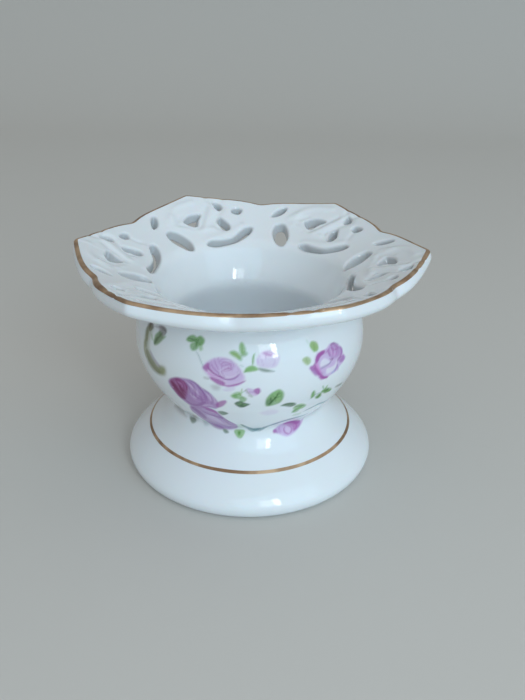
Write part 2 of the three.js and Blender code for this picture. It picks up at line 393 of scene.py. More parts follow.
# %% Distances over the plan of one lobe
def distance_to_line(line, x, y):
    """Distance from places to the nearest point of a line with corners."""
    best = np.full(x.shape, np.inf)
    for (ax, ay), (bx, by) in zip(line, line[1:]):
        ex, ey = bx - ax, by - ay
        t = np.clip(((x - ax) * ex + (y - ay) * ey) / (ex * ex + ey * ey), 0, 1)
        best = np.minimum(best, (x - ax - t * ex) ** 2 + (y - ay - t * ey) ** 2)
    return np.sqrt(best)


def inside_loop(loop, x, y):
    """Whether places lie inside a loop: a ray from there crosses it an odd number of times."""
    inside = np.zeros(x.shape, bool)
    for (ax, ay), (bx, by) in zip(loop, np.roll(loop, -1, 0)):
        if ay != by:
            inside ^= ((ay > y) != (by > y)) & (x < ax + (y - ay) * (bx - ax) / (by - ay))
    return inside


# Tables over the plan of one lobe, with its tip along +X
plan_step = 0.2
plan_x = np.arange(22, 62, plan_step)
plan_y = np.arange(-34, 34, plan_step)
plan = np.meshgrid(plan_x, plan_y, indexing="ij")


def look_up(table, x, y):
    """Reads a plan table between its points."""
    i = np.clip((x - plan_x[0]) / plan_step, 0, len(plan_x) - 1.001)
    j = np.clip((y - plan_y[0]) / plan_step, 0, len(plan_y) - 1.001)
    i0, j0 = i.astype(int), j.astype(int)
    fi, fj = i - i0, j - j0
    low = table[i0, j0] * (1 - fj) + table[i0, j0 + 1] * fj
    high = table[i0 + 1, j0] * (1 - fj) + table[i0 + 1, j0 + 1] * fj
    return low * (1 - fi) + high * fi


def soften(table, rounds):
    """Evens a table out with its neighbours, a number of times."""
    for _ in range(rounds):
        padded = np.pad(table, 1, mode="edge")
        table = (2 * table + padded[2:, 1:-1] + padded[:-2, 1:-1]) / 4
        padded = np.pad(table, 1, mode="edge")
        table = (2 * table + padded[1:-1, 2:] + padded[1:-1, :-2]) / 4
    return table


def fold(x, y):
    """Moves plan points into the half lobe between tip and notch, rounding its two corners."""
    y = np.sqrt(y * y + tip_softness**2)
    bearing, r = np.arctan2(y, x), np.hypot(x, y)
    across = np.sqrt((r * np.sin(math.radians(half_turn) - bearing)) ** 2 + notch_softness**2)
    along = r * np.cos(math.radians(half_turn) - bearing)
    bearing, r = math.radians(half_turn) - np.arctan2(across, along), np.hypot(across, along)
    return r * np.cos(bearing), r * np.sin(bearing)


def edge_distance(x, y):
    """Distance to the outline, below zero inside it."""
    x, y = fold(x, y)
    bearing = np.degrees(np.arctan2(y, x))
    outside = np.hypot(x, y) > np.interp(bearing, outline_bearing, outline_radius)
    return np.where(outside, 1, -1) * distance_to_line(half_lobe, x, y)


edge_table = edge_distance(*plan)
print(f"distances to the outline go from {edge_table.min():.1f} to {edge_table.max():.1f} mm")

# %% [markdown]
# Each lobe carries the same scrollwork: seven openings and a few raised and sunken scrolls that tie
# them together, none of it the same left and right. The corners are given as seen from above, with
# the lobe's tip along +X, and a soft curve runs through them.

# %% Scrollwork of one lobe
openings = {
    "leaf": [(30.9, 7.0), (34.2, 7.0), (37.6, 9.2), (39.8, 12.3), (38.2, 14.7), (35.0, 14.2),
        (32.2, 12.0), (30.6, 9.4)],
    "edge_oval": [(40.6, 18.6), (43.5, 18.5), (46.6, 17.3), (47.2, 15.6), (44.8, 15.4),
        (42.2, 16.5)],
    "triangle": [(43.9, 6.0), (46.2, 3.6), (46.9, 0.8), (46.4, -1.8), (44.0, 0.0), (41.3, 1.6),
        (41.4, 3.6)],
    "drop": [(37.0, -7.6), (39.4, -6.6), (42.0, -6.3), (43.6, -8.2), (41.4, -9.4), (39.0, -10.2),
        (37.2, -9.4)],
    "slit": [(42.8, -15.0), (44.2, -13.4), (45.8, -14.0), (45.6, -16.2), (44.4, -17.6),
        (43.2, -16.8)],
    "tip_slit": [(46.6, -9.0), (48.8, -8.2), (51.0, -8.4), (49.6, -10.6), (47.6, -11.0)],
    "crescent": [(32.4, 1.6), (33.9, -0.6), (33.4, -4.6), (33.3, -8.6), (34.9, -12.4),
        (35.9, -15.4), (34.9, -17.4), (33.1, -16.3), (31.6, -13.2), (30.9, -9.5), (31.0, -5.0),
        (31.3, -1.0)],
}
# Each scroll: how far it stands up or sinks in, how wide it is, and its line
scrolls = [
    (0.45, 1.3, [(41.2, 8.9), (44.6, 9.9), (48.3, 9.0), (51.3, 5.5), (52.7, -0.5)]),
    (-0.50, 0.9, [(38.0, -6.8), (40.2, -4.8), (42.4, -6.0), (44.9, -8.3), (48.0, -11.5), (50.6, -9.9)]),
    (0.50, 1.1, [(39.7, -0.6), (43.4, -3.3), (47.0, -6.1), (49.7, -7.4)]),
    (-0.40, 0.9, [(39.6, 1.8), (42.8, -0.9), (46.3, -2.8), (49.3, -5.3)]),
    (0.40, 1.1, [(40.8, 6.5), (38.9, 1.2), (38.8, -3.6)]),
    (0.35, 1.1, [(34.4, 0.3), (35.2, -3.7), (35.4, -8.5), (37.2, -14.0)]),
    (-0.40, 0.9, [(46.4, 5.7), (44.1, 8.2), (42.6, 9.4), (41.3, 6.0), (39.8, 3.6)]),
    (-0.40, 0.9, [(54.3, -6.6), (51.0, -7.4), (48.4, -7.9), (50.1, -10.3), (51.9, -13.3)]),
    (-0.30, 0.8, [(38.7, -15.2), (40.6, -15.0), (42.4, -15.5), (43.8, -15.9)]),
    (0.30, 1.0, [(46.7, 9.9), (45.0, 11.2), (43.0, 12.0)]),
]


def opening_table():
    table = np.full(plan[0].shape, np.inf)
    for corners in openings.values():
        loop = smooth_line(corners, 8, closed=True)
        distance = distance_to_line(np.vstack([loop, loop[:1]]), *plan)
        table = np.minimum(table, np.where(inside_loop(loop, *plan), -distance, distance))
    return soften(table, 2)


def scroll_table(melted=0.75):
    """Relief of the scrolls. The glaze fills a part of it, and melted is the share that is left."""
    table = np.zeros(plan[0].shape)
    for height, width, corners in scrolls:
        distance = distance_to_line(smooth_line(corners, 5), *plan)
        table += melted * height * np.exp(-((distance / width) ** 2))
    return soften(table, 6)


hole_table, relief_table = opening_table(), scroll_table()
print(len(openings), "openings and", len(scrolls), "scrolls in each of", lobes, "lobes")


# %% [markdown]
# Two fields become one by taking the larger value, which keeps what lies inside both, or the smaller
# one, which keeps what lies inside either. Where both are near zero the two are blended along an
# arc, and that is the whole trick of melted edges.


# %% Cut and join two fields
def cut(a, b, rounding):
    """What lies inside both fields, with the edge between them rounded."""
    u, v = np.maximum(rounding + a, 0), np.maximum(rounding + b, 0)
    return np.minimum(-rounding, np.maximum(a, b)) + np.hypot(u, v)


def join(a, b, rounding):
    """What lies inside either field, with the corner between them filled in."""
    u, v = np.maximum(rounding - a, 0), np.maximum(rounding - b, 0)
    return np.maximum(rounding, np.minimum(a, b)) - np.hypot(u, v)


print(f"an edge that is rounded by 1 mm ends {cut(0, 0, 1):.2f} mm short of the sharp one")

# %% [markdown]
# Now the field itself. The flange is a sloping plate with a rolled lip that gets deeper at its edge.
# Its top runs on into the throat as an arc, and its underside meets the neck in a fillet. Rounded
# cuts give every edge the soft line of melted glaze.

# %% Distance field of the rim
edge_rounding, under_rounding, hole_rounding, neck_fillet = 0.9, 1.7, 0.7, 1.5
lip_depth_at_tip, lip_depth_at_notch = 4.9, 5.4
flare_at_tip, flare_at_notch, lip_swell = 1.1, 1.5, 0.3
# The underside rolls down into the lip over this stretch, measured inwards from the outline
roll_starts, roll_width = 4.4, 2.2
hole_taper = 0.3
# No opening comes lower than this above the seam. Below that, openings narrow at this rate
neck_margin, closing_rate, closing_reach = 1.2, 1.5, 2
# Where the fire lifted the rim: height of the lift at the tips, bearing, width in degrees
lifts = [(1.7, 112, 40), (0.9, -75, 35)]
# It grows from the neck outwards, is whole this far from it, and never gets past this share
lift_reach, most_lift = 22, 1.1


def lobe_plan(x, y):
    """Turns plan points to the lobe that lies along +X."""
    bearing, r = np.arctan2(y, x), np.hypot(x, y)
    one_lobe = math.radians(2 * half_turn)
    return r, bearing - np.round(bearing / one_lobe) * one_lobe


def onto_flange(r, bearing, z):
    """How far points lie above the flange, square to it, and the plan places right under them."""
    above = (z - flange_top(r)) * up_slope[0]
    under_r = r + above * up_slope[1]
    return above, under_r * np.cos(bearing), under_r * np.sin(bearing)


def kiln_lift(x, y):
    """The fire lifted the rim a little on the far left and at the front."""
    bearing = np.degrees(np.arctan2(y, x))
    lift = sum(high * np.exp(-(((bearing - middle) / width) ** 2)) for high, middle, width in lifts)
    return lift * np.clip((np.hypot(x, y) - neck_radius) / lift_reach, 0, most_lift)


def rim_distance(x, y, z):
    """Distance from points to the surface of the rim in mm, below zero inside the porcelain."""
    z = z - kiln_lift(x, y)
    r, bearing = lobe_plan(x, y)
    above, under_x, under_y = onto_flange(r, bearing, z)
    edge = look_up(edge_table, r * np.cos(bearing), r * np.sin(bearing))
    outline = np.interp(np.abs(np.degrees(bearing)), outline_bearing, outline_radius)
    notch_share = (tip_radius - outline) / (tip_radius - notch_radius)
    lip_depth = lip_depth_at_tip + (lip_depth_at_notch - lip_depth_at_tip) * notch_share

    out, up = r - corner_centre[0], z - corner_centre[1]
    over_funnel = (r - corner[0]) * off_funnel[0] + (z - corner[1]) * off_funnel[1]
    on_flange = out * up_slope[0] + up * up_slope[1] > 0
    on_funnel = out * up_funnel[0] + up * up_funnel[1] < 0
    top = np.where(on_flange, above, np.where(on_funnel, over_funnel, np.hypot(out, up) - funnel_rounding))
    top = top - look_up(relief_table, under_x, under_y)

    roll = np.clip((edge + roll_starts) / roll_width, 0, 1)
    depth = flange_wall / up_slope[0]
    depth = depth + (lip_depth - depth) * roll * roll * (3 - 2 * roll)
    under = -above - depth * up_slope[0]
    under = join(under, r - neck_radius, neck_fillet)

    down = np.clip((flange_top(r) - z) / lip_depth, 0, 1)
    flare = flare_at_tip + (flare_at_notch - flare_at_tip) * notch_share
    side = edge - flare * down - lip_swell * np.sin(math.pi * down)

    body = cut(cut(top, side, edge_rounding), under, under_rounding)
    near_neck = closing_rate * np.clip(rim_seam + neck_margin - z, 0, closing_reach)
    narrowing = hole_taper * np.clip(-above, 0, flange_wall)
    holes = look_up(hole_table, under_x, under_y) + near_neck + narrowing
    return cut(body, -holes, hole_rounding)


def surface_facing(x, y, z, step=0.35):
    """Direction in which the surface faces, from how the field changes over two steps."""
    slope = np.stack([
        rim_distance(x + step, y, z) - rim_distance(x - step, y, z),
        rim_distance(x, y + step, z) - rim_distance(x, y - step, z),
        rim_distance(x, y, z + step) - rim_distance(x, y, z - step),
    ], 1)
    return slope / np.linalg.norm(slope, axis=1)[:, None]


probe = rim_distance(np.array([50.0]), np.array([0.0]), np.array([flange_top(50.0) + 1.0]))
print(f"one millimetre above the flange the field says {probe[0]:.2f} mm")

# %% [markdown]
# A material is a net of nodes, and wiring each one by hand takes many lines. These few helpers add a
# node and its links in one call, so that the recipes below read like a list of layers.


# %% Helpers for a material's nodes
def new_material(name):
    """An empty node tree with one shader in it."""
    material = bpy.data.materials.new(name)
    material.use_nodes = True
    tree = material.node_tree
    tree.nodes.clear()
    shader = tree.nodes.new("ShaderNodeBsdfPrincipled")
    output = tree.nodes.new("ShaderNodeOutputMaterial")
    tree.links.new(shader.outputs["BSDF"], output.inputs["Surface"])
    return material, tree, shader


def add(tree, kind, inputs=(), **settings):
    """Adds a node. An input is either a value or the output of another node."""
    node = tree.nodes.new(kind)
    for key, value in settings.items():
        setattr(node, key, value)
    for key, value in dict(inputs).items():
        if isinstance(value, bpy.types.NodeSocket):
            tree.links.new(value, node.inputs[key])
        else:
            node.inputs[key].default_value = value
    return node


def noise(tree, scale, detail=2.0):
    """Cloudy noise from 0 to 1, with about scale clouds to the metre."""
    place = add(tree, "ShaderNodeTexCoord").outputs["Object"]
    inputs = {"Vector": place, "Scale": scale, "Detail": detail}
    return add(tree, "ShaderNodeTexNoise", inputs).outputs["Fac"]


def ramp(tree, fac, low, high, to_low=0.0, to_high=1.0):
    """Stretches the range from low to high onto the range from to_low to to_high."""
    inputs = {"Value": fac, "From Min": low, "From Max": high, "To Min": to_low, "To Max": to_high}
    return add(tree, "ShaderNodeMapRange", inputs).outputs["Result"]


def mixed(tree, fac, a, b, blend="MIX"):
    node = add(tree, "ShaderNodeMix", data_type="RGBA", blend_type=blend)
    for socket, value in ((0, fac), (6, a), (7, b)):
        if isinstance(value, bpy.types.NodeSocket):
            tree.links.new(value, node.inputs[socket])
        else:
            node.inputs[socket].default_value = value
    return node.outputs[2]


def attribute(tree, name, output):
    return add(tree, "ShaderNodeAttribute", attribute_name=name).outputs[output]


print("helpers:", *(helper.__name__ for helper in (new_material, add, noise, ramp, mixed, attribute)))

# %% [markdown]
# Glaze is glass over a white body. Its gloss is almost perfect, so the look comes from small things:
# a cool tint that deepens where the glaze ran together, a slow ripple that bends the reflections,
# and painted shade that greys the walls of the openings. The print is fired onto the glaze, so it
# colours the body and dulls the gloss a little.

# %% Glaze and bare clay
PORCELAIN, MOTTLE = (0.81, 0.845, 0.87, 1), (0.80, 0.832, 0.852, 1)
POOLED = (0.72, 0.76, 0.785, 1)
# Painted shade: this colour is multiplied in deep down the walls of the openings
OPENING_PAINTED_SHADE = (0.70, 0.69, 0.685, 1)
BARE_CLAY, CLAY_GRAIN = (0.72, 0.69, 0.64, 1), (0.60, 0.56, 0.50, 1)
GLAZE_IOR, GLOW, GLOW_DEPTH = 1.52, 0.08, 0.002
# Clouds to the metre of tint, gloss, ripple and clay grain
TINT_SCALE, GLOSS_SCALE, RIPPLE_SCALE, CLAY_SCALE = 55.0, 130.0, 60.0, 2500.0
SMOOTHEST, ROUGHEST, INK_DULLS = 0.045, 0.085, 0.2
RIPPLE_STRENGTH, RIPPLE_HEIGHT = 0.25, 0.0001


def glaze_material(name, inked=False, bare=False):
    """Glaze over porcelain. inked adds the print, and bare the unglazed ring under the foot."""
    material, tree, shader = new_material(name)
    shader.inputs["IOR"].default_value = GLAZE_IOR
    shader.inputs["Subsurface Weight"].default_value = GLOW
    shader.inputs["Subsurface Scale"].default_value = GLOW_DEPTH
    mottled = mixed(tree, ramp(tree, noise(tree, TINT_SCALE), 0.35, 0.65), PORCELAIN, MOTTLE)
    color = mixed(tree, attribute(tree, "pooling", "Fac"), mottled, POOLED)
    # Painted shade down in the openings, read from the depth attribute
    color = mixed(tree, attribute(tree, "depth", "Fac"), color, OPENING_PAINTED_SHADE, "MULTIPLY")
    rough = ramp(tree, noise(tree, GLOSS_SCALE), 0.3, 0.7, SMOOTHEST, ROUGHEST)
    if inked:
        ink = attribute(tree, "ink", "Color")
        color = mixed(tree, 1.0, color, ink, "MULTIPLY")
        lightness = add(tree, "ShaderNodeRGBToBW", {0: ink}).outputs[0]
        cover = ramp(tree, lightness, 0.3, 0.9, INK_DULLS, 0.0)
        rough = add(tree, "ShaderNodeMath", {0: rough, 1: cover}, operation="ADD").outputs[0]
    height = {"Height": noise(tree, RIPPLE_SCALE, 0.0)}
    ripple = {**height, "Strength": RIPPLE_STRENGTH, "Distance": RIPPLE_HEIGHT}
    bump = add(tree, "ShaderNodeBump", ripple)
    if bare:
        clay = attribute(tree, "bare", "Fac")
        grain = mixed(tree, ramp(tree, noise(tree, CLAY_SCALE), 0.3, 0.7), BARE_CLAY, CLAY_GRAIN)
        color = mixed(tree, clay, color, grain)
        rough = add(tree, "ShaderNodeMath", {0: rough, 1: clay}, operation="MAXIMUM").outputs[0]
    tree.links.new(color, shader.inputs["Base Color"])
    tree.links.new(rough, shader.inputs["Roughness"])
    tree.links.new(bump.outputs["Normal"], shader.inputs["Normal"])
    return material


rim_glaze = glaze_material("rim_glaze")
bowl_glaze = glaze_material("printed_glaze", inked=True)
foot_glaze = glaze_material("foot_glaze", inked=True, bare=True)
print("glazes:", rim_glaze.name, bowl_glaze.name, foot_glaze.name)

# %% [markdown]
# Gold is brushed on as an oil and fired to a film of metal. The film is thin, so the white shows
# through in places, and brush marks dull it. A mix of metal and porcelain, with a fine grain, does
# both.

# %% Worn gold
DARK_GOLD, LIGHT_GOLD = (0.32, 0.195, 0.115, 1), (0.60, 0.41, 0.26, 1)
# Clouds to the metre of tone, wear, gloss and the brush's marks
TONE_SCALE, WEAR_SCALE, DULL_SCALE, BRUSH_SCALE = 160.0, 500.0, 420.0, 600.0
MOST_WORN, METAL_SHARE = 0.5, 0.7
MARK_STRENGTH, MARK_HEIGHT = 0.3, 0.00004


def gold_material():
    """Burnished gold, thin in places, so that the white glaze shows through it."""
    material, tree, shader = new_material("burnt_gold")
    tone = mixed(tree, ramp(tree, noise(tree, TONE_SCALE, 3.0), 0.35, 0.65), DARK_GOLD, LIGHT_GOLD)
    worn = ramp(tree, noise(tree, WEAR_SCALE), 0.72, 0.80, 0.0, MOST_WORN)
    color = mixed(tree, worn, tone, PORCELAIN)
    metal = ramp(tree, worn, 0.0, 1.0, METAL_SHARE, 0.0)
    rough = ramp(tree, noise(tree, DULL_SCALE), 0.3, 0.7, 0.30, 0.50)
    height = {"Height": noise(tree, BRUSH_SCALE)}
    marks = {**height, "Strength": MARK_STRENGTH, "Distance": MARK_HEIGHT}
    bump = add(tree, "ShaderNodeBump", marks)
    for value, socket in ((color, "Base Color"), (metal, "Metallic"), (rough, "Roughness")):
        tree.links.new(value, shader.inputs[socket])
    tree.links.new(bump.outputs["Normal"], shader.inputs["Normal"])
    return material


gold = gold_material()
print("gold:", len(gold.node_tree.nodes), "nodes")

# %% [markdown]
# The field becomes a mesh where it crosses zero. Marching through a grid of points half a
# millimetre apart finds that skin, and a few steps along the field's own slope put each point
# exactly on it.

# %% Find the skin of the field
grid_step = 0.495
# Points further than one grid step from the skin are left alone, so that none can run away
projection_rounds = 2


def skin_of_field(margin=2):
    """The points and four-sided faces of the field's zero surface."""
    reach = tip_radius + margin
    low = np.array([-reach, -reach, rim_seam - 3 * grid_step])
    high = np.array([reach, reach, tip_height + 3 * grid_step])
    axes = [np.arange(a, b, grid_step) for a, b in zip(low, high)]
    x, y = np.meshgrid(axes[0], axes[1], indexing="ij")
    field = np.stack([rim_distance(x, y, np.full(x.shape, z)) for z in axes[2]], 2)
    grid = openvdb.FloatGrid()
    grid.copyFromArray(field.astype(np.float32))
    points, quads = grid.convertToQuads(isovalue=0.0)
    points = low + np.asarray(points, float) * grid_step
    for _ in range(projection_rounds):
        off = rim_distance(*points.T)
        off[np.abs(off) > grid_step] = 0
        points -= off[:, None] * surface_facing(*points.T)
    return points, np.asarray(quads)


skin_points, skin_quads = skin_of_field()
print("skin:", len(skin_points), "points,", len(skin_quads), "faces")

# %% [markdown]
# The rim ends on a flat seam, where the potter joins it to the bowl with slip. The grid knows no
# such plane, so the skin is cut there, and the cut is closed with a flat ring.

# %% Cut the rim at its seam
seam_rounds, seam_tolerance = 3, 1e-4


def cut_at_seam(points, quads):
    """Cuts the mesh flat at the seam, closes the cut and makes its two edges true circles."""
    mesh = bpy.data.meshes.new("cutting")
    mesh.from_pydata(points, [], quads.tolist())
    bm = bmesh.new()
    bm.from_mesh(mesh)
    bmesh.ops.bisect_plane(
        bm,
        geom=[*bm.verts, *bm.edges, *bm.faces],
        plane_co=(0, 0, rim_seam),
        plane_no=(0, 0, 1),
        clear_inner=True,
    )
    open_edges = [e for e in bm.edges if e.is_boundary]
    cap = bmesh.ops.bridge_loops(bm, edges=open_edges)["faces"]
    print("seam closed:", len(open_edges), "edges,", len(cap), "faces")
    bm.to_mesh(mesh)
    bm.free()
    places = np.empty(3 * len(mesh.vertices))
    mesh.vertices.foreach_get("co", places)
    places = places.reshape(-1, 3)
    on_seam = np.abs(places[:, 2] - rim_seam) < seam_tolerance
    for _ in range(seam_rounds):
        ring = places[on_seam]
        facing = surface_facing(*ring.T)[:, :2]
        facing *= (rim_distance(*ring.T) / (facing**2).sum(1))[:, None]
        places[on_seam, :2] -= facing
    faces = [tuple(p.vertices) for p in mesh.polygons]
    bpy.data.meshes.remove(mesh)
    return places, faces, on_seam


rim_points, rim_faces, on_seam = cut_at_seam(skin_points, skin_quads)

# %% [markdown]
# Two looks depend on the place: pooled glaze in the hollows, and painted shade down in the openings.
# Both are read from the field and stored with the points, where a material can find them.


# %% Build the pierced rim
def float_attribute(piece, name, values):
    layer = piece.data.attributes.new(name, "FLOAT", "POINT")
    layer.data.foreach_set("value", np.asarray(values, np.float32))


def color_attribute(piece, name, values):
    layer = piece.data.attributes.new(name, "FLOAT_COLOR", "POINT")
    rgba = np.column_stack([values, np.ones(len(values))])
    layer.data.foreach_set("color", rgba.astype(np.float32).ravel())


def pooling_at(points, reach=1.1, full_pool=0.35):
    """How hollow the surface is: glaze runs off raised edges and gathers in recesses."""
    x, y, z = points.T
    around = [
        rim_distance(x + a * reach, y + b * reach, z + c * reach)
        for a, b, c in ((1, 0, 0), (-1, 0, 0), (0, 1, 0), (0, -1, 0), (0, 0, 1), (0, 0, -1))
    ]
    return np.clip(-np.mean(around, 0) / full_pool, 0, 1)


def painted_shade_in_openings(points, beside=0.6, edge=0.5, first_shade=0.15, full_shade=0.9):
    """How much painted shade a point gets: 0 on the open surface, and up to 1 well down inside an opening.
    """
    x, y, z = points.T
    above, under_x, under_y = onto_flange(*lobe_plan(x, y), z - kiln_lift(x, y))
    to_opening = look_up(hole_table, under_x, under_y)
    in_plan = np.clip((beside - to_opening) / edge, 0, 1)
    return in_plan * np.clip((-above + first_shade) / full_shade, 0, 1)


facing = surface_facing(*rim_points.T)
rim_facing = []
for face in rim_faces:
    flat = all(on_seam[v] for v in face)
    rim_facing.extend((0, 0, -1) if flat else facing[v] for v in face)
pierced_rim = make_object("glazed_rim", rim_points, rim_faces, rim_facing, rim_glaze)
float_attribute(pierced_rim, "pooling", pooling_at(rim_points))
# The depth attribute holds painted shade for the walls of the openings
float_attribute(pierced_rim, "depth", painted_shade_in_openings(rim_points))
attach(pierced_rim, "root")
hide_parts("pierced_rim")
print("rim:", len(rim_points), "points,", len(rim_faces), "faces")

# %% [markdown]
# The bowl has to meet the rim so that no line shows. The field says where the rim's surface crosses
# the seam and which way it faces there, and the bowl's profile will end at that place and angle.


# %% Where the rim's surface crosses the seam
def seam_radius(near):
    """Distance from the axis at which the rim's surface crosses its seam."""
    at = np.array([near])
    for _ in range(8):
        here = (at, np.zeros(1), np.full(1, rim_seam))
        at = at - rim_distance(*here) / surface_facing(*here)[0, 0]
    return float(at[0])


def seam_facing(r):
    """Direction, outwards and upwards, in which the rim's surface faces at its seam."""
    return surface_facing(np.array([r]), np.zeros(1), np.array([rim_seam]))[0, [0, 2]]


seam_outside, seam_inside = seam_radius(neck_radius), seam_radius(funnel_radius)
print(f"seam from {seam_inside:.2f} to {seam_outside:.2f} mm from the axis")

# %% [markdown]
# Foot and bowl are truly round, so their profiles are all there is to them. Their outsides are one
# line, softened at the waist where slip fills the corner, and then parted at the seam. Both pieces
# take their surface directions from the whole line, so the seam doesn't show.

# %% Outside of foot and bowl
outside_step = 0.36
waist_softness, waist_reach = 40, 3.2
# The curve from the bowl's wall into the rim starts this far under the seam
bowl_closes = 1.8


def foot_outside():
    """From the widest edge over the roll to the gold line, and from there up the flare."""
    line = np.array([foot_line_radius, foot_line_height])
    edge = np.array([foot_radius, foot_edge_height])
    down_line = heading(-foot_line_slope)
    rise = foot_line_height - foot_edge_height
    spread = foot_line_radius - waist_radius
    edge_handle, line_handle = edge + [0, 0.28 * rise], line + 3.75 * down_line
    base_roll = bezier(edge, edge_handle, line_handle, line + 0.55 * down_line, 30)
    flare = bezier(
        line - 0.55 * down_line,
        line - (0.55 + 0.5 * spread) * down_line,
        (waist_radius + 0.1 * spread, waist_seam - 0.5 * (waist_seam - foot_line_height)),
        (waist_radius, waist_seam),
        30,
    )
    return np.vstack([base_roll, flare])


def bowl_outside():
    """From the waist up the bulge, and in a last curve to where the rim's own surface begins."""
    z = np.linspace(waist_seam, rim_seam - bowl_closes, 120)[1:]
    wall_line = np.stack([bowl_radius(z), z], 1)
    seam = np.array([seam_outside, rim_seam])
    out, up = seam_facing(seam[0])
    upward = np.array([-up, out])
    rising = wall_line[-1] - wall_line[-2]
    rising /= np.hypot(*rising)
    close = bezier(wall_line[-1], wall_line[-1] + 0.7 * rising, seam - 0.7 * upward, seam, 12)
    return np.vstack([wall_line, close[1:]])


def soften_waist(line):
    """Fills the corner at the waist, as slip does."""
    line = respace(line, outside_step / 2)
    nearness = np.clip(1 - np.abs(line[:, 1] - waist_seam) / waist_reach, 0, 1)[1:-1, None]
    for _ in range(waist_softness):
        middle = (line[:-2] + line[2:]) / 2
        line[1:-1] += 0.5 * nearness * (middle - line[1:-1])
    return respace(line, outside_step)


def split_run(run, height):
    """Parts a run where it first passes a height, with the same surface direction on both sides."""
    line, facing = run
    k = int(np.argmax(line[:, 1] > height))
    share = (height - line[k - 1, 1]) / (line[k, 1] - line[k - 1, 1])
    point = line[k - 1] + share * (line[k] - line[k - 1])
    point[1] = height
    side = facing[k - 1] + share * (facing[k] - facing[k - 1])
    low = np.vstack([line[:k], point]), np.vstack([facing[:k], side])
    high = np.vstack([point, line[k:]]), np.vstack([side, facing[k:]])
    return low, high


outside = run_of(soften_waist(np.vstack([foot_outside(), bowl_outside()])))
foot_side, bowl_side = split_run(outside, waist_seam)
print(f"outside: {len(foot_side[0])} rows on the foot and {len(bowl_side[0])} on the bowl")

# %% [markdown]
# The insides follow the outsides at the wall's thickness, because slip in a plaster mould builds up
# an even skin. Under the foot only the ends differ: a crown at the top, and a standing ring that is
# wiped clean of glaze, or it would stick to the shelf of the kiln.

# %% Inside of the foot
underside_step = 0.8
ring_chamfer_width, ring_chamfer = 0.3, 0.25


def inner_wall(line, low, high):
    """The inside of a wall between two heights, from the top down."""
    _, facing = run_of(line)
    inner = line - wall * facing
    return inner[(inner[:, 1] > low) & (inner[:, 1] < high)][::-1]


def foot_runs():
    hollow = inner_wall(foot_side[0], foot_edge_height + 0.6, waist_height - 2.2 * wall)
    crown = waist_height - wall
    crown_handle = (0.5 * hollow[0, 0], crown)
    dome = bezier((0, crown), crown_handle, hollow[0] - 3 * (hollow[3] - hollow[0]), hollow[0], 24)
    ring_inside = standing_radius - standing_width
    skirt_handle = hollow[-1] + 1.4 * (hollow[-1] - hollow[-3])
    skirt_end = (ring_inside, ring_chamfer)
    skirt = bezier(hollow[-1], skirt_handle, (ring_inside + 0.2, 2.2), skirt_end, 12)
    underneath = run_of(respace(np.vstack([dome, hollow[1:-1], skirt]), underside_step))
    ring = run_of([skirt_end, (ring_inside + ring_chamfer_width, 0.0), (standing_radius, 0.0)])
    under_roll = run_of(bezier(
        (standing_radius, 0),
        (standing_radius + 0.55 * (foot_radius - standing_radius), 0),
        (foot_radius, 0.45 * foot_edge_height),
        (foot_radius, foot_edge_height),
        16,
    ))
    joint = run_of([foot_side[0][-1], (0, waist_seam)])
    return [underneath, ring, under_roll, foot_side, joint]


foot_profile = foot_runs()
print("foot:", len(foot_profile), "runs,", sum(len(line) for line, _ in foot_profile), "profile points")

# %% [markdown]
# Seen from the mouth, the inside of the bowl narrows to the throat, widens under it, and comes down
# along the wall to a flat floor that a candle can stand on.

# %% Inside of the bowl
inside_step = 0.9
throat_lean = -107


def throat_line(start):
    """From the seam down the funnel, and round the undercut below the narrowest place."""
    end = np.array([throat_radius + 0.2, throat_height + 0.8])
    under_throat = end + [0.6, -4.2]
    down, into_bowl = heading(throat_lean), heading(throat_undercut - 90)
    return np.vstack([
        bezier(start, start - 3 * up_funnel, end - 3 * down, end, 20),
        bezier(end, end + 1.4 * down, under_throat - 1.4 * into_bowl, under_throat, 10)[1:],
    ])


def bowl_runs():
    throat = throat_line(np.array([seam_inside, rim_seam]))
    corner_top = floor_height + 1.3 * floor_rounding
    wall_line = inner_wall(bowl_side[0], corner_top, corner_top + 3)
    throat_handle = throat[-1] + 5.0 * heading(throat_undercut - 90)
    hollow = bezier(throat[-1], throat_handle, wall_line[0] + [0.9, 3.0], wall_line[0], 16)
    falling = wall_line[-1] - wall_line[-2]
    falling /= np.hypot(*falling)
    corner_handle = wall_line[-1] + 0.8 * floor_rounding * falling
    floor_start = wall_line[-1, 0] + 1.35 * floor_rounding * falling[0]
    floor_handle = (floor_start - 0.4 * floor_rounding, floor_height)
    floor_edge = (floor_start - 1.6 * floor_rounding, floor_height)
    corner = bezier(wall_line[-1], corner_handle, floor_handle, floor_edge, 12)
    side = respace(np.vstack([throat, hollow[1:], wall_line[1:], corner[1:]]), inside_step)
    line, facing = run_of(np.vstack([side, [(6.0, floor_height), (0.0, floor_height)]]))
    facing[0] = seam_facing(seam_inside)
    facing[-2:] = (0, 1)
    base = run_of([(0, waist_seam), bowl_side[0][0]])
    joint = run_of([bowl_side[0][-1], (seam_inside, rim_seam)])
    return [base, bowl_side, joint, (line, facing)]


bowl_profile = bowl_runs()
print("bowl:", len(bowl_profile), "runs,", sum(len(line) for line, _ in bowl_profile), "profile points")

# %% [markdown]
# Both profiles are turned in many columns, because the print is painted onto the points and needs
# them close together: 0.4 mm at the widest place. A crease of pooled glaze runs round the waist.

# %% Turn foot and bowl
column_count = 600
crease_height, crease_depth, crease_pool = 1.2, 1.5, 0.6
# Clay is bare on the standing ring, and the glaze sets in over this height
bare_strength, bare_fade, ring_margin = 1.2, 0.4, 0.3

columns = np.linspace(0, 2 * math.pi, column_count, endpoint=False)
foot = turn("glazed_foot", foot_profile, columns, foot_glaze)
bowl = turn("printed_bowl", bowl_profile, columns, bowl_glaze)


def places_of(piece):
    places = np.empty(3 * len(piece.data.vertices))
    piece.data.vertices.foreach_get("co", places)
    return places.reshape(-1, 3) / MM


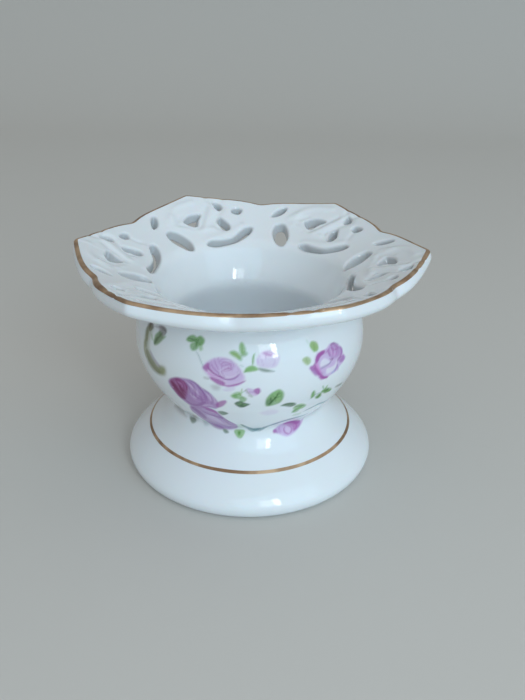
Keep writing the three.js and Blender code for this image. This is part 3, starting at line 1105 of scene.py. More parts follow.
for piece in (foot, bowl):
    x, y, z = places_of(piece).T
    r = np.hypot(x, y)
    crease = np.exp(-(((z - waist_seam) / crease_height) ** 2)) * (r > waist_radius - crease_depth)
    float_attribute(piece, "pooling", crease_pool * crease)
    bare = np.clip(bare_strength - z / bare_fade, 0, 1) * (r < standing_radius + ring_margin)
    float_attribute(piece, "bare", bare)
    print(piece.name, len(piece.data.vertices), "points")
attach(foot, "root")
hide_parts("foot")
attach(bowl, "root")
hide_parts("bowl")

# %% [markdown]
# The rose print is a transfer: sheets of soft ink that are slid onto the glaze and fired in. Its
# places are measured on the wrapped sheet, in millimetres: along it from the middle of the front,
# and up it from the waist, so that the same sheet runs from the bowl over the waist onto the foot.

# %% Inks
petal_white = (0.97, 0.90, 0.97)
blush = (0.87, 0.67, 0.88)
lilac = (0.76, 0.51, 0.81)
pink = (0.85, 0.37, 0.76)
orchid = (0.52, 0.28, 0.58)
mauve = (0.54, 0.25, 0.57)
magenta = (0.48, 0.11, 0.42)
crimson = (0.32, 0.03, 0.19)
wine = (0.24, 0.01, 0.11)
plum = (0.30, 0.06, 0.26)
dusk_violet = (0.36, 0.14, 0.41)
grey_violet = (0.42, 0.30, 0.54)
violet_blue = (0.46, 0.50, 0.77)
gold_leaf = (0.40, 0.55, 0.18)
leaf = (0.33, 0.57, 0.22)
green = (0.17, 0.41, 0.09)
pine = (0.03, 0.13, 0.02)
olive = (0.28, 0.29, 0.08)
moss = (0.12, 0.11, 0.04)
slate = (0.10, 0.18, 0.09)
teal = (0.16, 0.30, 0.33)
grey = (0.26, 0.20, 0.20)
dusk = (0.14, 0.08, 0.09)
print("inks from", petal_white, "to", pine)

# %% [markdown]
# Two kinds of stroke do for the whole print. A wash is a soft patch inside a loop, and a brush line
# thins out at both ends. Each is kept as a few corners and is only worked out where points are near.

# %% How a wash and a line spread
sheet_radius = 36.0
line_step, line_edge, line_thinning = 0.3, 0.42, 0.75
strokes = []


def line_share(width, corners, a, b):
    """How much of a line's ink lands at each place, from 0 to 1."""
    line = smooth_line(corners, 6) if len(corners) > 2 else corners
    line = respace(line, line_step)
    run = np.linspace(-1, 1, len(line) - 1)
    half_width = 0.5 * width * (1 - line_thinning * run**4)
    best = np.full(a.shape, -np.inf)
    for (p, q), (r, s), half in zip(line, line[1:], half_width):
        t = np.clip(((a - p) * (r - p) + (b - q) * (s - q)) / ((r - p) ** 2 + (s - q) ** 2), 0, 1)
        best = np.maximum(best, half - np.hypot(a - p - t * (r - p), b - q - t * (s - q)))
    return np.clip(0.5 + best / line_edge, 0, 1)


def wash_share(softness, corners, a, b):
    """The same for a patch inside a loop. Its edge fades over twice the softness."""
    loop = smooth_line(corners, 5, closed=True)
    distance = distance_to_line(np.vstack([loop, loop[:1]]), a, b)
    signed = np.where(inside_loop(loop, a, b), distance, -distance)
    share = np.clip(0.5 + signed / (2 * softness), 0, 1)
    return share * share * (3 - 2 * share)


def wash(ink, strength, softness, *corners):
    strokes.append((wash_share, ink, strength, softness, corners))


def brush(ink, strength, width, *corners):
    strokes.append((line_share, ink, strength, width, corners))


on_line = np.zeros(1)
print("ink on the middle of a line:", line_share(1.0, [(-3, 0), (3, 0)], on_line, on_line)[0])

# %% [markdown]
# A printed rose is built like a painted one: a pale wash for the whole flower, darker washes on the
# side away from the light, dark lines where petals overlap, and last some pale lines on their rims.
# Every stroke covers what lies under it, so their order is part of the drawing.

# %% The middle rose
wash(blush, 0.9, 0.5, (-10.6, 29.3), (-9.8, 30.8), (-8.5, 31.9), (-6.9, 32.7), (-5.2, 33.2), (-3.4, 33),
     (-1.6, 32.3), (0.2, 30.5), (1.4, 28.4), (1.7, 26.8), (0.4, 25), (-1.6, 24), (-3.3, 23.6),
     (-5, 24.3), (-6.6, 25.1), (-8.2, 25.9), (-9.2, 27.1), (-10.2, 28.2))
wash(lilac, 0.75, 0.5, (-8.6, 31), (-7.4, 32.4), (-5.4, 32.8), (-3.6, 32.3), (-5, 30.6), (-5.4, 28.6),
     (-5.9, 27.6), (-7.4, 28.4), (-8.4, 29.7))
wash(lilac, 0.6, 0.6, (-3.7, 26.4), (-1.5, 27.1), (0.4, 28.4), (1.2, 27.7), (0.6, 26.2), (-1.5, 25),
     (-3.3, 25.1))
wash(lilac, 0.5, 0.6, (-5.1, 31.1), (-3.3, 31.9), (-1.6, 31.4), (-0.5, 29.8), (-0.9, 28.3),
     (-2.8, 27.7), (-4.3, 28), (-5, 29.4))
wash(magenta, 0.85, 0.35, (-10.5, 29.3), (-9.5, 30.6), (-8.7, 31), (-8.4, 29.7), (-8.9, 28.3),
     (-9.7, 28.4))
wash(magenta, 0.85, 0.35, (-8.2, 26.7), (-6.8, 26.5), (-5, 26), (-3.9, 25.2), (-4.3, 24.2),
     (-5.8, 24.4), (-7.2, 25.2), (-8.1, 25.9))
brush(magenta, 0.9, 0.61, (-9, 29.9), (-8.1, 28.7), (-6.8, 27.7), (-5, 27), (-3.7, 26.4))
brush(plum, 0.45, 0.31, (-8.6, 28.9), (-7.2, 27.7), (-5.4, 26.9), (-4.3, 26.5))
brush(pink, 0.9, 0.67, (-9.2, 28.3), (-7.7, 27.3), (-5.9, 26.8), (-4, 26.1))
brush(magenta, 0.85, 0.62, (-4.3, 24.4), (-2.9, 24.3), (-1.1, 24.8), (0.4, 25.5), (1.8, 26.3))
brush(mauve, 0.8, 0.43, (-3.9, 26.6), (-2.4, 26.6), (-1, 27.3), (0.2, 28.4))
brush(mauve, 0.7, 0.49, (-8.3, 31.1), (-7.5, 29.8), (-6.4, 28.8), (-5.5, 28))
brush(mauve, 0.55, 0.42, (-7.2, 31.9), (-6.5, 30.6), (-5.7, 29.3))
brush(mauve, 0.7, 0.4, (-5, 29.8), (-4.5, 30.7), (-3.3, 31.2), (-2.2, 30.7), (-1.9, 29.7))
brush(magenta, 0.6, 0.41, (-4.7, 29), (-3.9, 29.6), (-2.7, 30.1), (-2, 29.4))
brush(mauve, 0.75, 0.41, (-5, 29.2), (-4.6, 28), (-3.9, 27.1))
brush(mauve, 0.45, 0.41, (-5.6, 31.9), (-4, 31.7), (-2.2, 31.5), (-1, 30.5))
brush(mauve, 0.4, 0.33, (-6, 31.4), (-5.1, 31.1), (-4.4, 30.2))
brush(mauve, 0.35, 0.36, (-0.7, 30.5), (0.4, 29.1), (0.6, 27.7))
brush(mauve, 0.4, 0.28, (-3.9, 28.1), (-2.8, 27.8), (-1.5, 28.2), (-0.6, 29.1))
brush(grey, 0.35, 0.91, (-10.1, 26.1), (-8.6, 25.9))
wash(grey, 0.4, 0.9, (-8, 23.7), (-6.6, 24.2), (-5.3, 23.6), (-6, 22.4), (-7.4, 22.4))
brush(lilac, 0.35, 1.13, (-4.6, 22.8), (-2.9, 22.9), (-1.1, 23.7))
brush(mauve, 0.5, 0.29, (-9.1, 30.8), (-8.3, 29.6), (-7.2, 28.2))
brush(mauve, 0.5, 0.28, (-8.1, 31.9), (-7.4, 30.2), (-6.3, 28.6))
brush(mauve, 0.45, 0.25, (-7.1, 32.6), (-6.6, 30.9), (-5.7, 29.2))
brush(mauve, 0.5, 0.32, (-6.1, 32.9), (-5.8, 31.7), (-5.2, 30.6))
brush(mauve, 0.55, 0.32, (-5.7, 32), (-4.4, 32.7), (-2.7, 32.5), (-1.5, 31.4), (-1.4, 29.9))
brush(magenta, 0.5, 0.3, (-5, 29.6), (-4.9, 31.1), (-3.9, 31.8), (-2.6, 31.5), (-2.1, 30.3),
     (-2.8, 29.3), (-4.2, 29))
brush(magenta, 0.45, 0.25, (-4.3, 30.1), (-3.7, 30.8), (-2.9, 30.5), (-3.1, 29.7))
brush(dusk_violet, 0.7, 0.37, (-6, 28.7), (-4.8, 26.9), (-3.1, 26.4), (-1.3, 26.9), (-0.2, 28),
     (-0.3, 29.2))
brush(blush, 0.75, 0.42, (-4.8, 28), (-3.1, 27.7), (-1.5, 28.1), (-0.8, 29.1))
brush(mauve, 0.4, 0.24, (-1.1, 31.6), (0, 30), (0.5, 28.2))
brush(blush, 0.85, 0.42, (-9.2, 28.9), (-7.2, 27.5), (-4.8, 26.3), (-2.7, 25.6), (-0.3, 25.7),
     (1.3, 26.6))
brush(magenta, 0.6, 0.3, (-9, 29.5), (-7.4, 28.2), (-5.7, 27.2), (-4.3, 26.6))
print("middle rose:", len(strokes), "strokes so far")

# %% The big rose
wash(orchid, 0.95, 0.5, (-23, 21.1), (-19.9, 23.4), (-17, 24.1), (-14.4, 24.3), (-12.5, 23.5),
     (-10.7, 22), (-8.9, 20.9), (-7.2, 18.8), (-6.3, 16.4), (-7.5, 13.8), (-9.8, 13.8), (-12.4, 12.6),
     (-15.5, 11.2), (-17.4, 11.9), (-19.2, 13.3), (-21, 15.2), (-22.1, 17.3), (-23.1, 18.9))
wash(crimson, 0.8, 0.5, (-22.5, 21.4), (-19.4, 23.4), (-16.6, 23), (-15.7, 20.8), (-16.8, 17.3),
     (-18.4, 14.6), (-20.1, 14.7), (-21.3, 16.4), (-22.2, 18.7))
wash(mauve, 0.5, 0.8, (-16.7, 18.2), (-13.7, 19.9), (-10.9, 20.1), (-9.3, 17.9), (-9.3, 14.9),
     (-12.9, 13), (-16.1, 12.7), (-17.5, 14.6))
brush(wine, 0.8, 1.91, (-21.8, 21), (-20.9, 19.9), (-20.1, 18.1), (-19.1, 15.9), (-18.2, 15.2))
brush(wine, 0.6, 0.94, (-19.7, 20.5), (-18.4, 19.8), (-18.2, 17.9), (-17.2, 17))
brush(crimson, 0.5, 1.08, (-20, 22.8), (-17.9, 22.9), (-16.4, 22), (-16.3, 20))
brush(pink, 0.45, 0.58, (-19.6, 22), (-18.1, 21.7), (-17.6, 20.4))
brush(blush, 0.8, 0.83, (-15.9, 23.1), (-14.1, 21.7), (-12.9, 20.1), (-11.9, 18.8))
brush(blush, 0.6, 1.12, (-15.2, 18.6), (-13.7, 17))
brush(blush, 0.75, 0.72, (-10.1, 20.6), (-8.9, 19), (-8.2, 17))
brush(blush, 0.6, 0.55, (-8.9, 20.6), (-7.5, 18.1), (-7.4, 16.2))
brush(blush, 0.5, 0.7, (-12.1, 14), (-9.7, 15.2), (-8.3, 14.8))
brush(dusk_violet, 0.7, 0.71, (-15.8, 22.8), (-14.9, 20.4), (-14.6, 17.9))
brush(dusk_violet, 0.7, 0.63, (-12.6, 22.6), (-10.8, 21), (-9.7, 18.8), (-9.5, 16.3))
brush(grey_violet, 0.7, 0.76, (-14.8, 24), (-12.7, 23.1), (-10.9, 21.6))
brush(dusk_violet, 0.6, 1.13, (-18.5, 14.3), (-16.3, 13.1), (-13.8, 13.7), (-10.5, 16.5))
brush(dusk_violet, 0.5, 0.66, (-12.4, 19.6), (-11.7, 17.9), (-11.7, 15.7))
brush(grey_violet, 0.5, 0.73, (-10.7, 21.7), (-8.7, 20.5), (-6.9, 17.7))
wash(magenta, 0.8, 0.4, (-7.3, 16.2), (-5.9, 17.9), (-4.2, 18.6), (-3.9, 17.7), (-5.3, 15.6),
     (-7, 14.6))
brush(wine, 0.7, 0.79, (-21.6, 21.4), (-20.9, 19.7), (-19.4, 17.8), (-18, 16.4))
brush(wine, 0.6, 0.59, (-19.6, 22.5), (-19, 20.8), (-17.8, 19.2), (-16.6, 17.9))
brush(pink, 0.4, 0.4, (-20.3, 21.9), (-19.5, 20.6), (-19, 19.4))
brush(pink, 0.35, 0.32, (-18, 23.1), (-16.9, 22.2), (-16.6, 20.7), (-17.2, 19.1))
brush(wine, 0.55, 0.47, (-18, 21.2), (-18.9, 19.8), (-18.2, 18.7), (-16.7, 20))
brush(lilac, 0.5, 0.33, (-16.3, 23.5), (-15, 22.2), (-14.7, 20), (-15.3, 17.6))
brush(dusk_violet, 0.75, 0.42, (-15.3, 23.6), (-13.8, 22.2), (-13.3, 20.1), (-13.7, 17.8))
brush(lilac, 0.75, 0.38, (-14.3, 23.9), (-12.9, 22.5), (-12.4, 20.4), (-12.8, 18.1))
brush(dusk_violet, 0.8, 0.48, (-14.7, 24.1), (-12.6, 23.2), (-11.2, 21.4), (-10.4, 19.2), (-10.4, 17))
brush(lilac, 0.7, 0.31, (-11.1, 22), (-9.8, 20.1), (-9.3, 18.1), (-9.5, 16))
brush(dusk_violet, 0.7, 0.37, (-10.8, 22.4), (-9, 20.6), (-8.2, 18.3), (-8.6, 15.9))
brush(blush, 0.6, 0.31, (-8.7, 20.3), (-7.6, 18.8), (-7.4, 17))
brush(plum, 0.4, 0.73, (-20.9, 17.6), (-19.2, 15.6), (-17, 13.7))
brush(lilac, 0.55, 0.42, (-15.2, 17.7), (-14.1, 16.2), (-12.4, 15.9))
brush(dusk_violet, 0.6, 0.45, (-14.4, 18.7), (-12.7, 17.4), (-10.8, 17.3))
print("big rose:", len(strokes), "strokes so far")

# %% [markdown]
# Where the sheet crosses the waist it was stretched, and the lowest petals are drawn out with it.
# Broad lines stand for them here, because a stretched petal has no outline of its own left.

# %% The swept petals under it
wash(orchid, 0.95, 0.5, (-17.6, 11.7), (-14.3, 12.3), (-11.1, 13.5), (-8.6, 13), (-7.3, 11.5),
     (-6.2, 9.3), (-4.6, 6.2), (-2.1, 3.3), (-2.1, 0.6), (-4.9, -0.6), (-8.6, -0.8), (-12.2, -0.3),
     (-14.7, 0.8), (-16.7, 2.5), (-17.7, 5.8), (-18.6, 8))
wash(lilac, 0.5, 0.7, (-12.2, 9.8), (-9.5, 9.3), (-7.4, 6.6), (-5.4, 2.3), (-7.6, -0.1), (-10.8, 1.6),
     (-12.7, 4.9))
brush(blush, 0.7, 2.8, (-12.4, 7.4), (-9.7, 6.7), (-8, 4.3), (-5.5, 1.3))
brush(dusk_violet, 0.8, 2.8, (-16.9, 11.1), (-15.1, 8.3), (-14.4, 4.6))
brush(magenta, 0.7, 1.56, (-11.4, 12.6), (-9.3, 12.3), (-7.9, 10.9))
brush(dusk_violet, 0.7, 0.8, (-7.7, 9.9), (-5.9, 6.6), (-3.5, 3.5))
brush(dusk_violet, 0.6, 1.5, (-15.5, 1.1), (-12.2, -0.3), (-8.1, -0.7))
brush(mauve, 0.6, 0.99, (-9.8, 9.2), (-7.7, 6.5), (-6.5, 2.7))
wash(grey, 0.45, 1, (-39.5, -1.2), (-25.3, 7.1), (-29.4, -0.2), (-27.9, -1.4), (-32, -1.7), (-37, -1.8))
wash(slate, 0.75, 0.5, (-25.7, -0.7), (-22.5, 0.2), (-21.9, -1.1), (-23.5, -2.3), (-25.1, -1.9))
wash(grey, 0.35, 1, (-23.7, 4.3), (-19.9, 5.1), (-19.9, 1.2), (-22, -1.2), (-26, -0.8))
wash(teal, 0.4, 0.9, (-18.2, 1.3), (-16.1, 1), (-15.1, -0.3), (-17.2, -1.2))
brush(magenta, 0.6, 0.79, (-12.9, 13.2), (-10.2, 13.2), (-7.9, 12))
brush(dusk_violet, 0.75, 1.02, (-16.8, 10.9), (-15.1, 8.6), (-14.1, 6))
brush(dusk_violet, 0.75, 0.92, (-13.4, 10.5), (-11, 9.3), (-8.1, 8.6), (-6.3, 7.3))
brush(lilac, 0.75, 1.67, (-12.5, 7.4), (-10, 5.2), (-7.2, 3.3), (-4.2, 1.7))
brush(dusk_violet, 0.7, 0.66, (-7.7, 10.5), (-5.6, 7.5), (-3.1, 4.6), (-1.7, 3.2))
brush(lilac, 0.6, 0.76, (-13.2, 12.1), (-10.4, 11.1), (-8.2, 10.9))
print("swept petals:", len(strokes), "strokes so far")

# %% [markdown]
# Leaves are a green patch with a dark vein, and now and then a yellow one where the light catches.
# They come in threes, and no two are drawn alike.

# %% Leaves above the big rose
wash(green, 0.85, 0.4, (-17, 36.5), (-16.3, 37.6), (-14.8, 38.2), (-13.5, 37.5), (-13.6, 36.5),
     (-15.3, 35.9), (-16.6, 36))
wash(green, 0.9, 0.4, (-13.8, 37.4), (-12.5, 38.4), (-10.9, 37.5), (-11.1, 36), (-12.5, 35.3),
     (-13.8, 36))
wash(green, 0.8, 0.4, (-15.2, 35.5), (-13.8, 36.2), (-12.5, 35.4), (-12.8, 34.2), (-14.2, 33.6),
     (-15.1, 34.4))
wash(leaf, 0.7, 0.4, (-12.4, 35.3), (-11.4, 35.8), (-11, 34.5), (-11.8, 34.1))
brush(pine, 0.45, 0.36, (-15.6, 36.8), (-13.3, 36.4), (-12.1, 35.9))
brush(pine, 0.35, 0.33, (-12.6, 37.8), (-11.7, 37), (-12, 35.7))
brush(pine, 0.3, 0.34, (-14.1, 34.1), (-13.6, 35), (-13.4, 35.9))
brush(teal, 0.55, 0.32, (-13, 33.7), (-12.1, 32.7), (-11, 30.8), (-10.2, 29.3))
brush(pine, 0.55, 0.32, (-16.5, 36.9), (-14.7, 36.9), (-12.6, 36.7))
brush(pine, 0.5, 0.32, (-13.1, 34.8), (-13.3, 35.9), (-12.8, 37.3))
brush(leaf, 0.6, 0.24, (-15.8, 37.5), (-14.6, 37.6), (-13.7, 37.4))
brush(leaf, 0.6, 0.25, (-12.3, 37.6), (-11.6, 37), (-11.7, 36.2))
brush(green, 0.7, 0.35, (-16.6, 36.5), (-15.7, 36.2), (-14.3, 36.4))
print("leaves above the big rose:", len(strokes), "strokes so far")

# %% Leaves in the middle
wash(leaf, 0.85, 0.35, (-0.2, 36.7), (0.4, 37.9), (1.3, 37.3), (1.9, 35.7), (1.2, 34.4), (0.1, 34.8))
wash(leaf, 0.85, 0.4, (-2.9, 34.8), (-1.7, 35.4), (-0.2, 34.8), (0.6, 33.7), (0.1, 32.8), (-1.2, 33.4),
     (-2.6, 34.2))
wash(green, 0.6, 0.4, (0.5, 34.6), (1.6, 35.3), (2.5, 34.6), (1.7, 33.7), (0.5, 33.7))
wash(green, 0.55, 0.4, (-0.4, 33.2), (1, 33.3), (0.5, 32.3))
brush(green, 0.7, 0.31, (-1.6, 34.6), (-0.7, 34.1), (0.1, 33.3))
brush(green, 0.5, 0.27, (0.8, 37.3), (0.9, 35.9), (0.7, 34.8))
brush(green, 0.5, 0.26, (0.6, 33.9), (1.5, 34.4), (2.2, 34.6))
wash(leaf, 0.9, 0.4, (1.4, 29.1), (2.1, 30.3), (3.3, 31), (4.8, 30.6), (5.5, 29.8), (4.2, 29.4),
     (2.7, 29.1))
brush(green, 0.8, 0.41, (1.4, 29), (2.3, 29.6), (3.6, 30.1))
brush(leaf, 0.8, 0.43, (4.2, 34.3), (4, 32.9), (3.8, 31.2))
brush(teal, 0.4, 0.32, (0.3, 31.2), (1.3, 30.7))
wash(leaf, 0.8, 0.45, (-2.5, 20.7), (-1.2, 22.1), (0.1, 22.4), (0.6, 21), (0.1, 19.6), (-1.7, 19.8))
wash(green, 0.75, 0.4, (0.1, 20), (1, 20.7), (2.1, 19.8), (1.4, 18.4), (0.2, 18.3))
wash(green, 0.6, 0.4, (-2, 20.8), (-0.8, 21.4), (-0.4, 20.3), (-1.5, 19.9))
wash(pine, 0.9, 0.3, (-1.4, 17.8), (0, 18.7), (1.4, 18.1), (3, 17.4), (1.8, 16.3), (0.2, 15.7),
     (-1.2, 16.8))
brush(leaf, 0.8, 0.42, (-0.5, 17.3), (0.7, 17.5))
brush(leaf, 0.8, 0.43, (1.1, 17.1), (2, 17.2))
brush(gold_leaf, 0.8, 0.39, (0.8, 23.5), (0.5, 21.8), (0.3, 21))
brush(green, 0.7, 0.29, (-2.6, 35), (-1.2, 34.3), (0.3, 33.2))
brush(green, 0.7, 0.29, (0.5, 37.5), (0.7, 36.1), (0.9, 34.6))
brush(gold_leaf, 0.7, 0.29, (-1.2, 34.6), (-0.7, 33.9), (0.1, 33.5))
brush(green, 0.7, 0.3, (2, 29.5), (3.1, 30.3), (4.5, 30.5))
brush(pine, 0.6, 0.39, (-0.8, 18), (0.4, 17.2), (1.9, 17.4))
brush(pine, 0.7, 0.48, (0.4, 17), (1.1, 16.2), (2.1, 17))
brush(green, 0.7, 0.33, (-2, 20.6), (-0.9, 21.2), (0.3, 21.6))
brush(green, 0.7, 0.29, (-0.1, 22.2), (0.5, 20.9), (1.2, 20))
brush(gold_leaf, 0.5, 1.06, (-2.2, 34.6), (-0.7, 33.9), (0.3, 33.2))
brush(gold_leaf, 0.4, 0.87, (0.5, 37.3), (0.8, 35.6), (1.1, 34.4))
print("leaves in the middle:", len(strokes), "strokes so far")

# %% [markdown]
# A bud is a small rose: one pale wash, a darker side and a few petal lines, held by a green stem.

# %% The small bud
wash(blush, 0.95, 0.4, (1.6, 23), (2.5, 23.9), (4, 23.3), (5.5, 23.8), (5.8, 22.4), (4.7, 20.9),
     (3.1, 21.3), (2.1, 21.9))
wash(magenta, 0.85, 0.35, (4.2, 23.3), (5.5, 23.8), (6, 22.6), (5.3, 21.5), (4.4, 22.1))
brush(mauve, 0.6, 0.46, (2.5, 22.5), (3.9, 22.4), (4.9, 22.5))
brush(mauve, 0.4, 0.39, (2.5, 23.5), (3.6, 23.3), (4.4, 23.1))
brush(grey, 0.5, 0.45, (2.5, 21.2), (3.7, 20.4))
brush(green, 0.6, 0.36, (1.8, 23.3), (2.6, 22), (3.8, 20.7))
brush(green, 0.5, 0.28, (0.5, 21.9), (1.7, 22.9), (2.4, 23.5))
print("small bud:", len(strokes), "strokes so far")

# %% Small leaves on the waist
wash(pine, 0.8, 0.35, (-7.2, 12.4), (-5.6, 12.9), (-3.9, 11.9), (-5.8, 10.4), (-6.9, 11.2))
wash(slate, 0.8, 0.35, (-8.6, -1.1), (-7.2, -0.8), (-5.8, -1.8), (-7.5, -2.2))
wash(leaf, 0.9, 0.35, (-3.6, -1.3), (-2.6, -0.4), (0, -0.3), (1, -1), (0, -2.9), (-1.2, -3.4),
     (-2.5, -2.8))
wash(green, 0.9, 0.3, (-2, -1.2), (-0.8, -1.1), (-1.1, -2.4), (-1.9, -2.2))
brush(pine, 0.6, 0.32, (-1.4, -1), (-1.4, -1.9))
print("small leaves on the waist:", len(strokes), "strokes so far")

# %% The pale bud
wash(blush, 0.75, 0.5, (4.9, 32.3), (5.9, 34.6), (7, 35.2), (8.8, 35.3), (10.6, 34.5), (11.6, 33),
     (11.1, 31.3), (10.1, 30.2), (8.2, 30.1), (6.2, 30.5), (5.1, 31.2))
wash(mauve, 0.7, 0.4, (6.6, 34.7), (7.7, 35.2), (9, 35), (9.7, 34.1), (8.7, 33.5), (7.9, 33.8),
     (7.2, 34.1))
brush(magenta, 0.6, 0.53, (7.2, 34.7), (8.2, 34.1), (9.3, 33.9))
brush(dusk_violet, 0.7, 0.44, (9.1, 34.8), (10.4, 34.1))
brush(mauve, 0.55, 0.44, (7.5, 34.1), (7.6, 32.9))
brush(lilac, 0.7, 0.56, (5.1, 33.3), (5.4, 31.5))
brush(mauve, 0.3, 0.3, (6.1, 34.1), (6.3, 32.6), (6.9, 30.9))
brush(mauve, 0.25, 0.31, (10.2, 33), (10, 31.6), (9.3, 30.5))
brush(green, 0.75, 0.48, (4.4, 34.7), (3.9, 33.1), (3.9, 31.4))
wash(leaf, 0.9, 0.4, (1.8, 30.2), (3.1, 30.9), (4.3, 30.9), (5, 29.8), (3.9, 29.4), (2.2, 29.4))
wash(slate, 0.7, 0.4, (5.4, 30.3), (6.9, 30.1), (9.3, 29.3), (9.9, 28.9), (7.9, 28.9), (6.2, 29.3))
brush(pine, 0.4, 0.23, (5.5, 29.9), (6.9, 29.6), (8.4, 29.2))
print("pale bud:", len(strokes), "strokes so far")

# %% [markdown]
# The right rose is the clearest one. Its heart is nearly white, so here the pale patch comes late,
# over the pink, and the dark lines shut it in.

# %% The right rose
wash(lilac, 0.9, 0.4, (27, 32.6), (28.8, 33.5), (31.1, 33), (33.1, 31), (33.7, 29), (34.9, 27),
     (34.1, 25.7), (32.3, 24.9), (31, 23.8), (28.7, 23.3), (26.9, 22.9), (25.2, 22.7), (23.9, 23.7),
     (22.7, 25.4), (21.1, 27.2), (20.5, 28.1), (22.1, 28.9), (22.5, 30.8), (23.5, 32.2), (25.2, 32.2))
wash(mauve, 0.6, 0.5, (27.5, 31.7), (29, 32.9), (31, 32.6), (32.7, 30.7), (33, 29.1), (31, 28.3),
     (29, 28.7), (27.6, 30.2))
wash(petal_white, 0.95, 0.4, (24.6, 29.2), (26, 29.7), (27.8, 28.2), (27.2, 27.1), (25.1, 27),
     (24.2, 27.8))
wash(petal_white, 0.95, 0.4, (26.6, 26), (28.1, 26), (30, 26.3), (30.7, 27.4), (31.5, 26.3),
     (30.5, 24.8), (28.6, 24.2), (26.7, 24.3))
brush(magenta, 0.95, 1.01, (25.9, 31.8), (24, 31.1), (23, 29.5))
brush(magenta, 0.7, 0.67, (22.4, 29.3), (22, 27.9), (22.7, 26.2), (24, 24.5))
brush(pink, 0.9, 0.54, (23.2, 29.1), (23.2, 27.6), (23.8, 25.9), (25.1, 24.1))
brush(magenta, 0.9, 0.72, (23.9, 24.1), (25.3, 23.5), (27.4, 22.8))
brush(mauve, 0.8, 0.49, (20.8, 28), (21.9, 26.9), (23.3, 25))
wash(magenta, 0.7, 0.35, (20.5, 28.4), (21.8, 28.5), (22.4, 27), (21.6, 26.8))
brush(grey_violet, 0.75, 0.53, (23.9, 26.6), (25.4, 26.9), (27.5, 27.3), (28.5, 28.2))
brush(plum, 0.6, 0.45, (28.6, 29), (29.2, 28.1))
brush(plum, 0.7, 0.53, (28.9, 32.9), (29.8, 33.2), (30.9, 32.8))
brush(magenta, 0.75, 0.53, (28.9, 32.6), (29.6, 31.3), (31.7, 31))
brush(magenta, 0.7, 0.64, (32.8, 31.2), (33.4, 29.4), (32.5, 28.4))
brush(pink, 0.6, 0.43, (28.3, 31.2), (29.8, 29.7), (31.2, 29.7))
brush(mauve, 0.6, 0.47, (27.9, 32.1), (27.9, 30.6), (28.8, 29.3))
brush(mauve, 0.6, 0.4, (30.5, 32.2), (31.7, 31.1), (31.8, 29.5))
wash(mauve, 0.75, 0.4, (32.8, 28.4), (34.9, 27), (34.4, 26.1), (32.9, 26), (31.7, 27))
brush(plum, 0.5, 0.63, (31, 26.9), (31.7, 27.8), (32.9, 27.9))
brush(violet_blue, 0.7, 0.83, (31.5, 25.8), (30.2, 24.4), (28.7, 23.6))
brush(mauve, 0.5, 0.42, (23.8, 27.4), (24.1, 26.1), (25.5, 24.8))
wash(leaf, 0.9, 0.35, (21.3, 35), (22.1, 35.8), (23.4, 35.5), (24.2, 34.1), (23.9, 32.9), (22.5, 32.6),
     (21.6, 33.8))
brush(green, 0.8, 0.47, (22.7, 34.9), (22.8, 34), (22.6, 33.1))
wash(gold_leaf, 0.8, 0.4, (18.4, 31.4), (19.8, 31.9), (21, 30.9), (20.9, 29.7), (19.8, 29.2),
     (18.6, 30.4))
brush(green, 0.4, 0.32, (19.5, 31.3), (20.1, 29.9))
brush(leaf, 0.25, 0.66, (20.6, 36.8), (21.1, 35.5))
brush(magenta, 0.8, 0.96, (26.4, 32), (23.9, 31.3), (22.9, 29.8))
brush(magenta, 0.75, 0.59, (22, 29), (22.5, 27.2), (23.9, 25.1), (26.1, 23))
brush(pink, 0.8, 0.33, (22.9, 29.5), (23.4, 27.5), (24.7, 25.4))
brush(magenta, 0.7, 0.76, (24.4, 23.3), (25.8, 23.1), (27.4, 23.1))
brush(mauve, 0.7, 0.45, (20.7, 28.2), (21.4, 26.7), (22.9, 24.7))
brush(magenta, 0.6, 0.39, (27.2, 32.2), (27.6, 30.7), (28.2, 29.5))
brush(magenta, 0.5, 0.31, (29, 32.4), (29.4, 31), (29.2, 29.7))
brush(magenta, 0.5, 0.35, (31.1, 32), (31.2, 30.6), (30.6, 29.2))
brush(blush, 0.6, 0.28, (28.3, 32.4), (28.7, 30.9), (28.7, 29.6))
brush(blush, 0.5, 0.32, (30.2, 31.7), (30.2, 30.4), (29.7, 29.2))
brush(mauve, 0.7, 0.65, (32.5, 31.5), (33.1, 29.6), (32.5, 28.2), (31.3, 27))
brush(plum, 0.55, 0.37, (28.5, 33), (30.2, 33.1), (32.1, 32.2))
brush(plum, 0.7, 0.32, (27.8, 29.1), (28.6, 28.4), (29.5, 28.8))
brush(mauve, 0.7, 0.54, (31.3, 27), (31, 25.4), (30.1, 23.7))
brush(magenta, 0.85, 1.33, (26.2, 31.8), (24.5, 31.4), (23.4, 30.4), (22.8, 29))
brush(magenta, 0.8, 0.75, (22.5, 28.8), (22.8, 27.4), (24.1, 25.2), (25.8, 23.3), (27.2, 22.6))
brush(pink, 0.85, 0.36, (23.2, 29.3), (23.6, 27.4), (24.8, 25.2))
brush(mauve, 0.8, 0.86, (21.3, 28.5), (21.8, 27.1), (23, 25.2))
brush(mauve, 0.75, 0.77, (33, 30.8), (33.3, 29.5), (32.8, 28.6))
brush(mauve, 0.8, 1.4, (33.9, 27.8), (33.7, 26.9), (32.5, 26.4))
brush(magenta, 0.6, 0.36, (26.2, 31.2), (27.3, 31.6), (28.3, 32.4))
brush(magenta, 0.5, 0.5, (30.1, 32.5), (31.4, 31.9), (32.4, 30.8))
brush(mauve, 0.55, 0.43, (30.8, 26), (31.5, 24.6), (31.5, 23.4))
brush(grey_violet, 0.6, 0.37, (24.3, 27.2), (25.8, 27.3), (27.6, 27.5), (28.6, 28))
print("right rose:", len(strokes), "strokes so far")

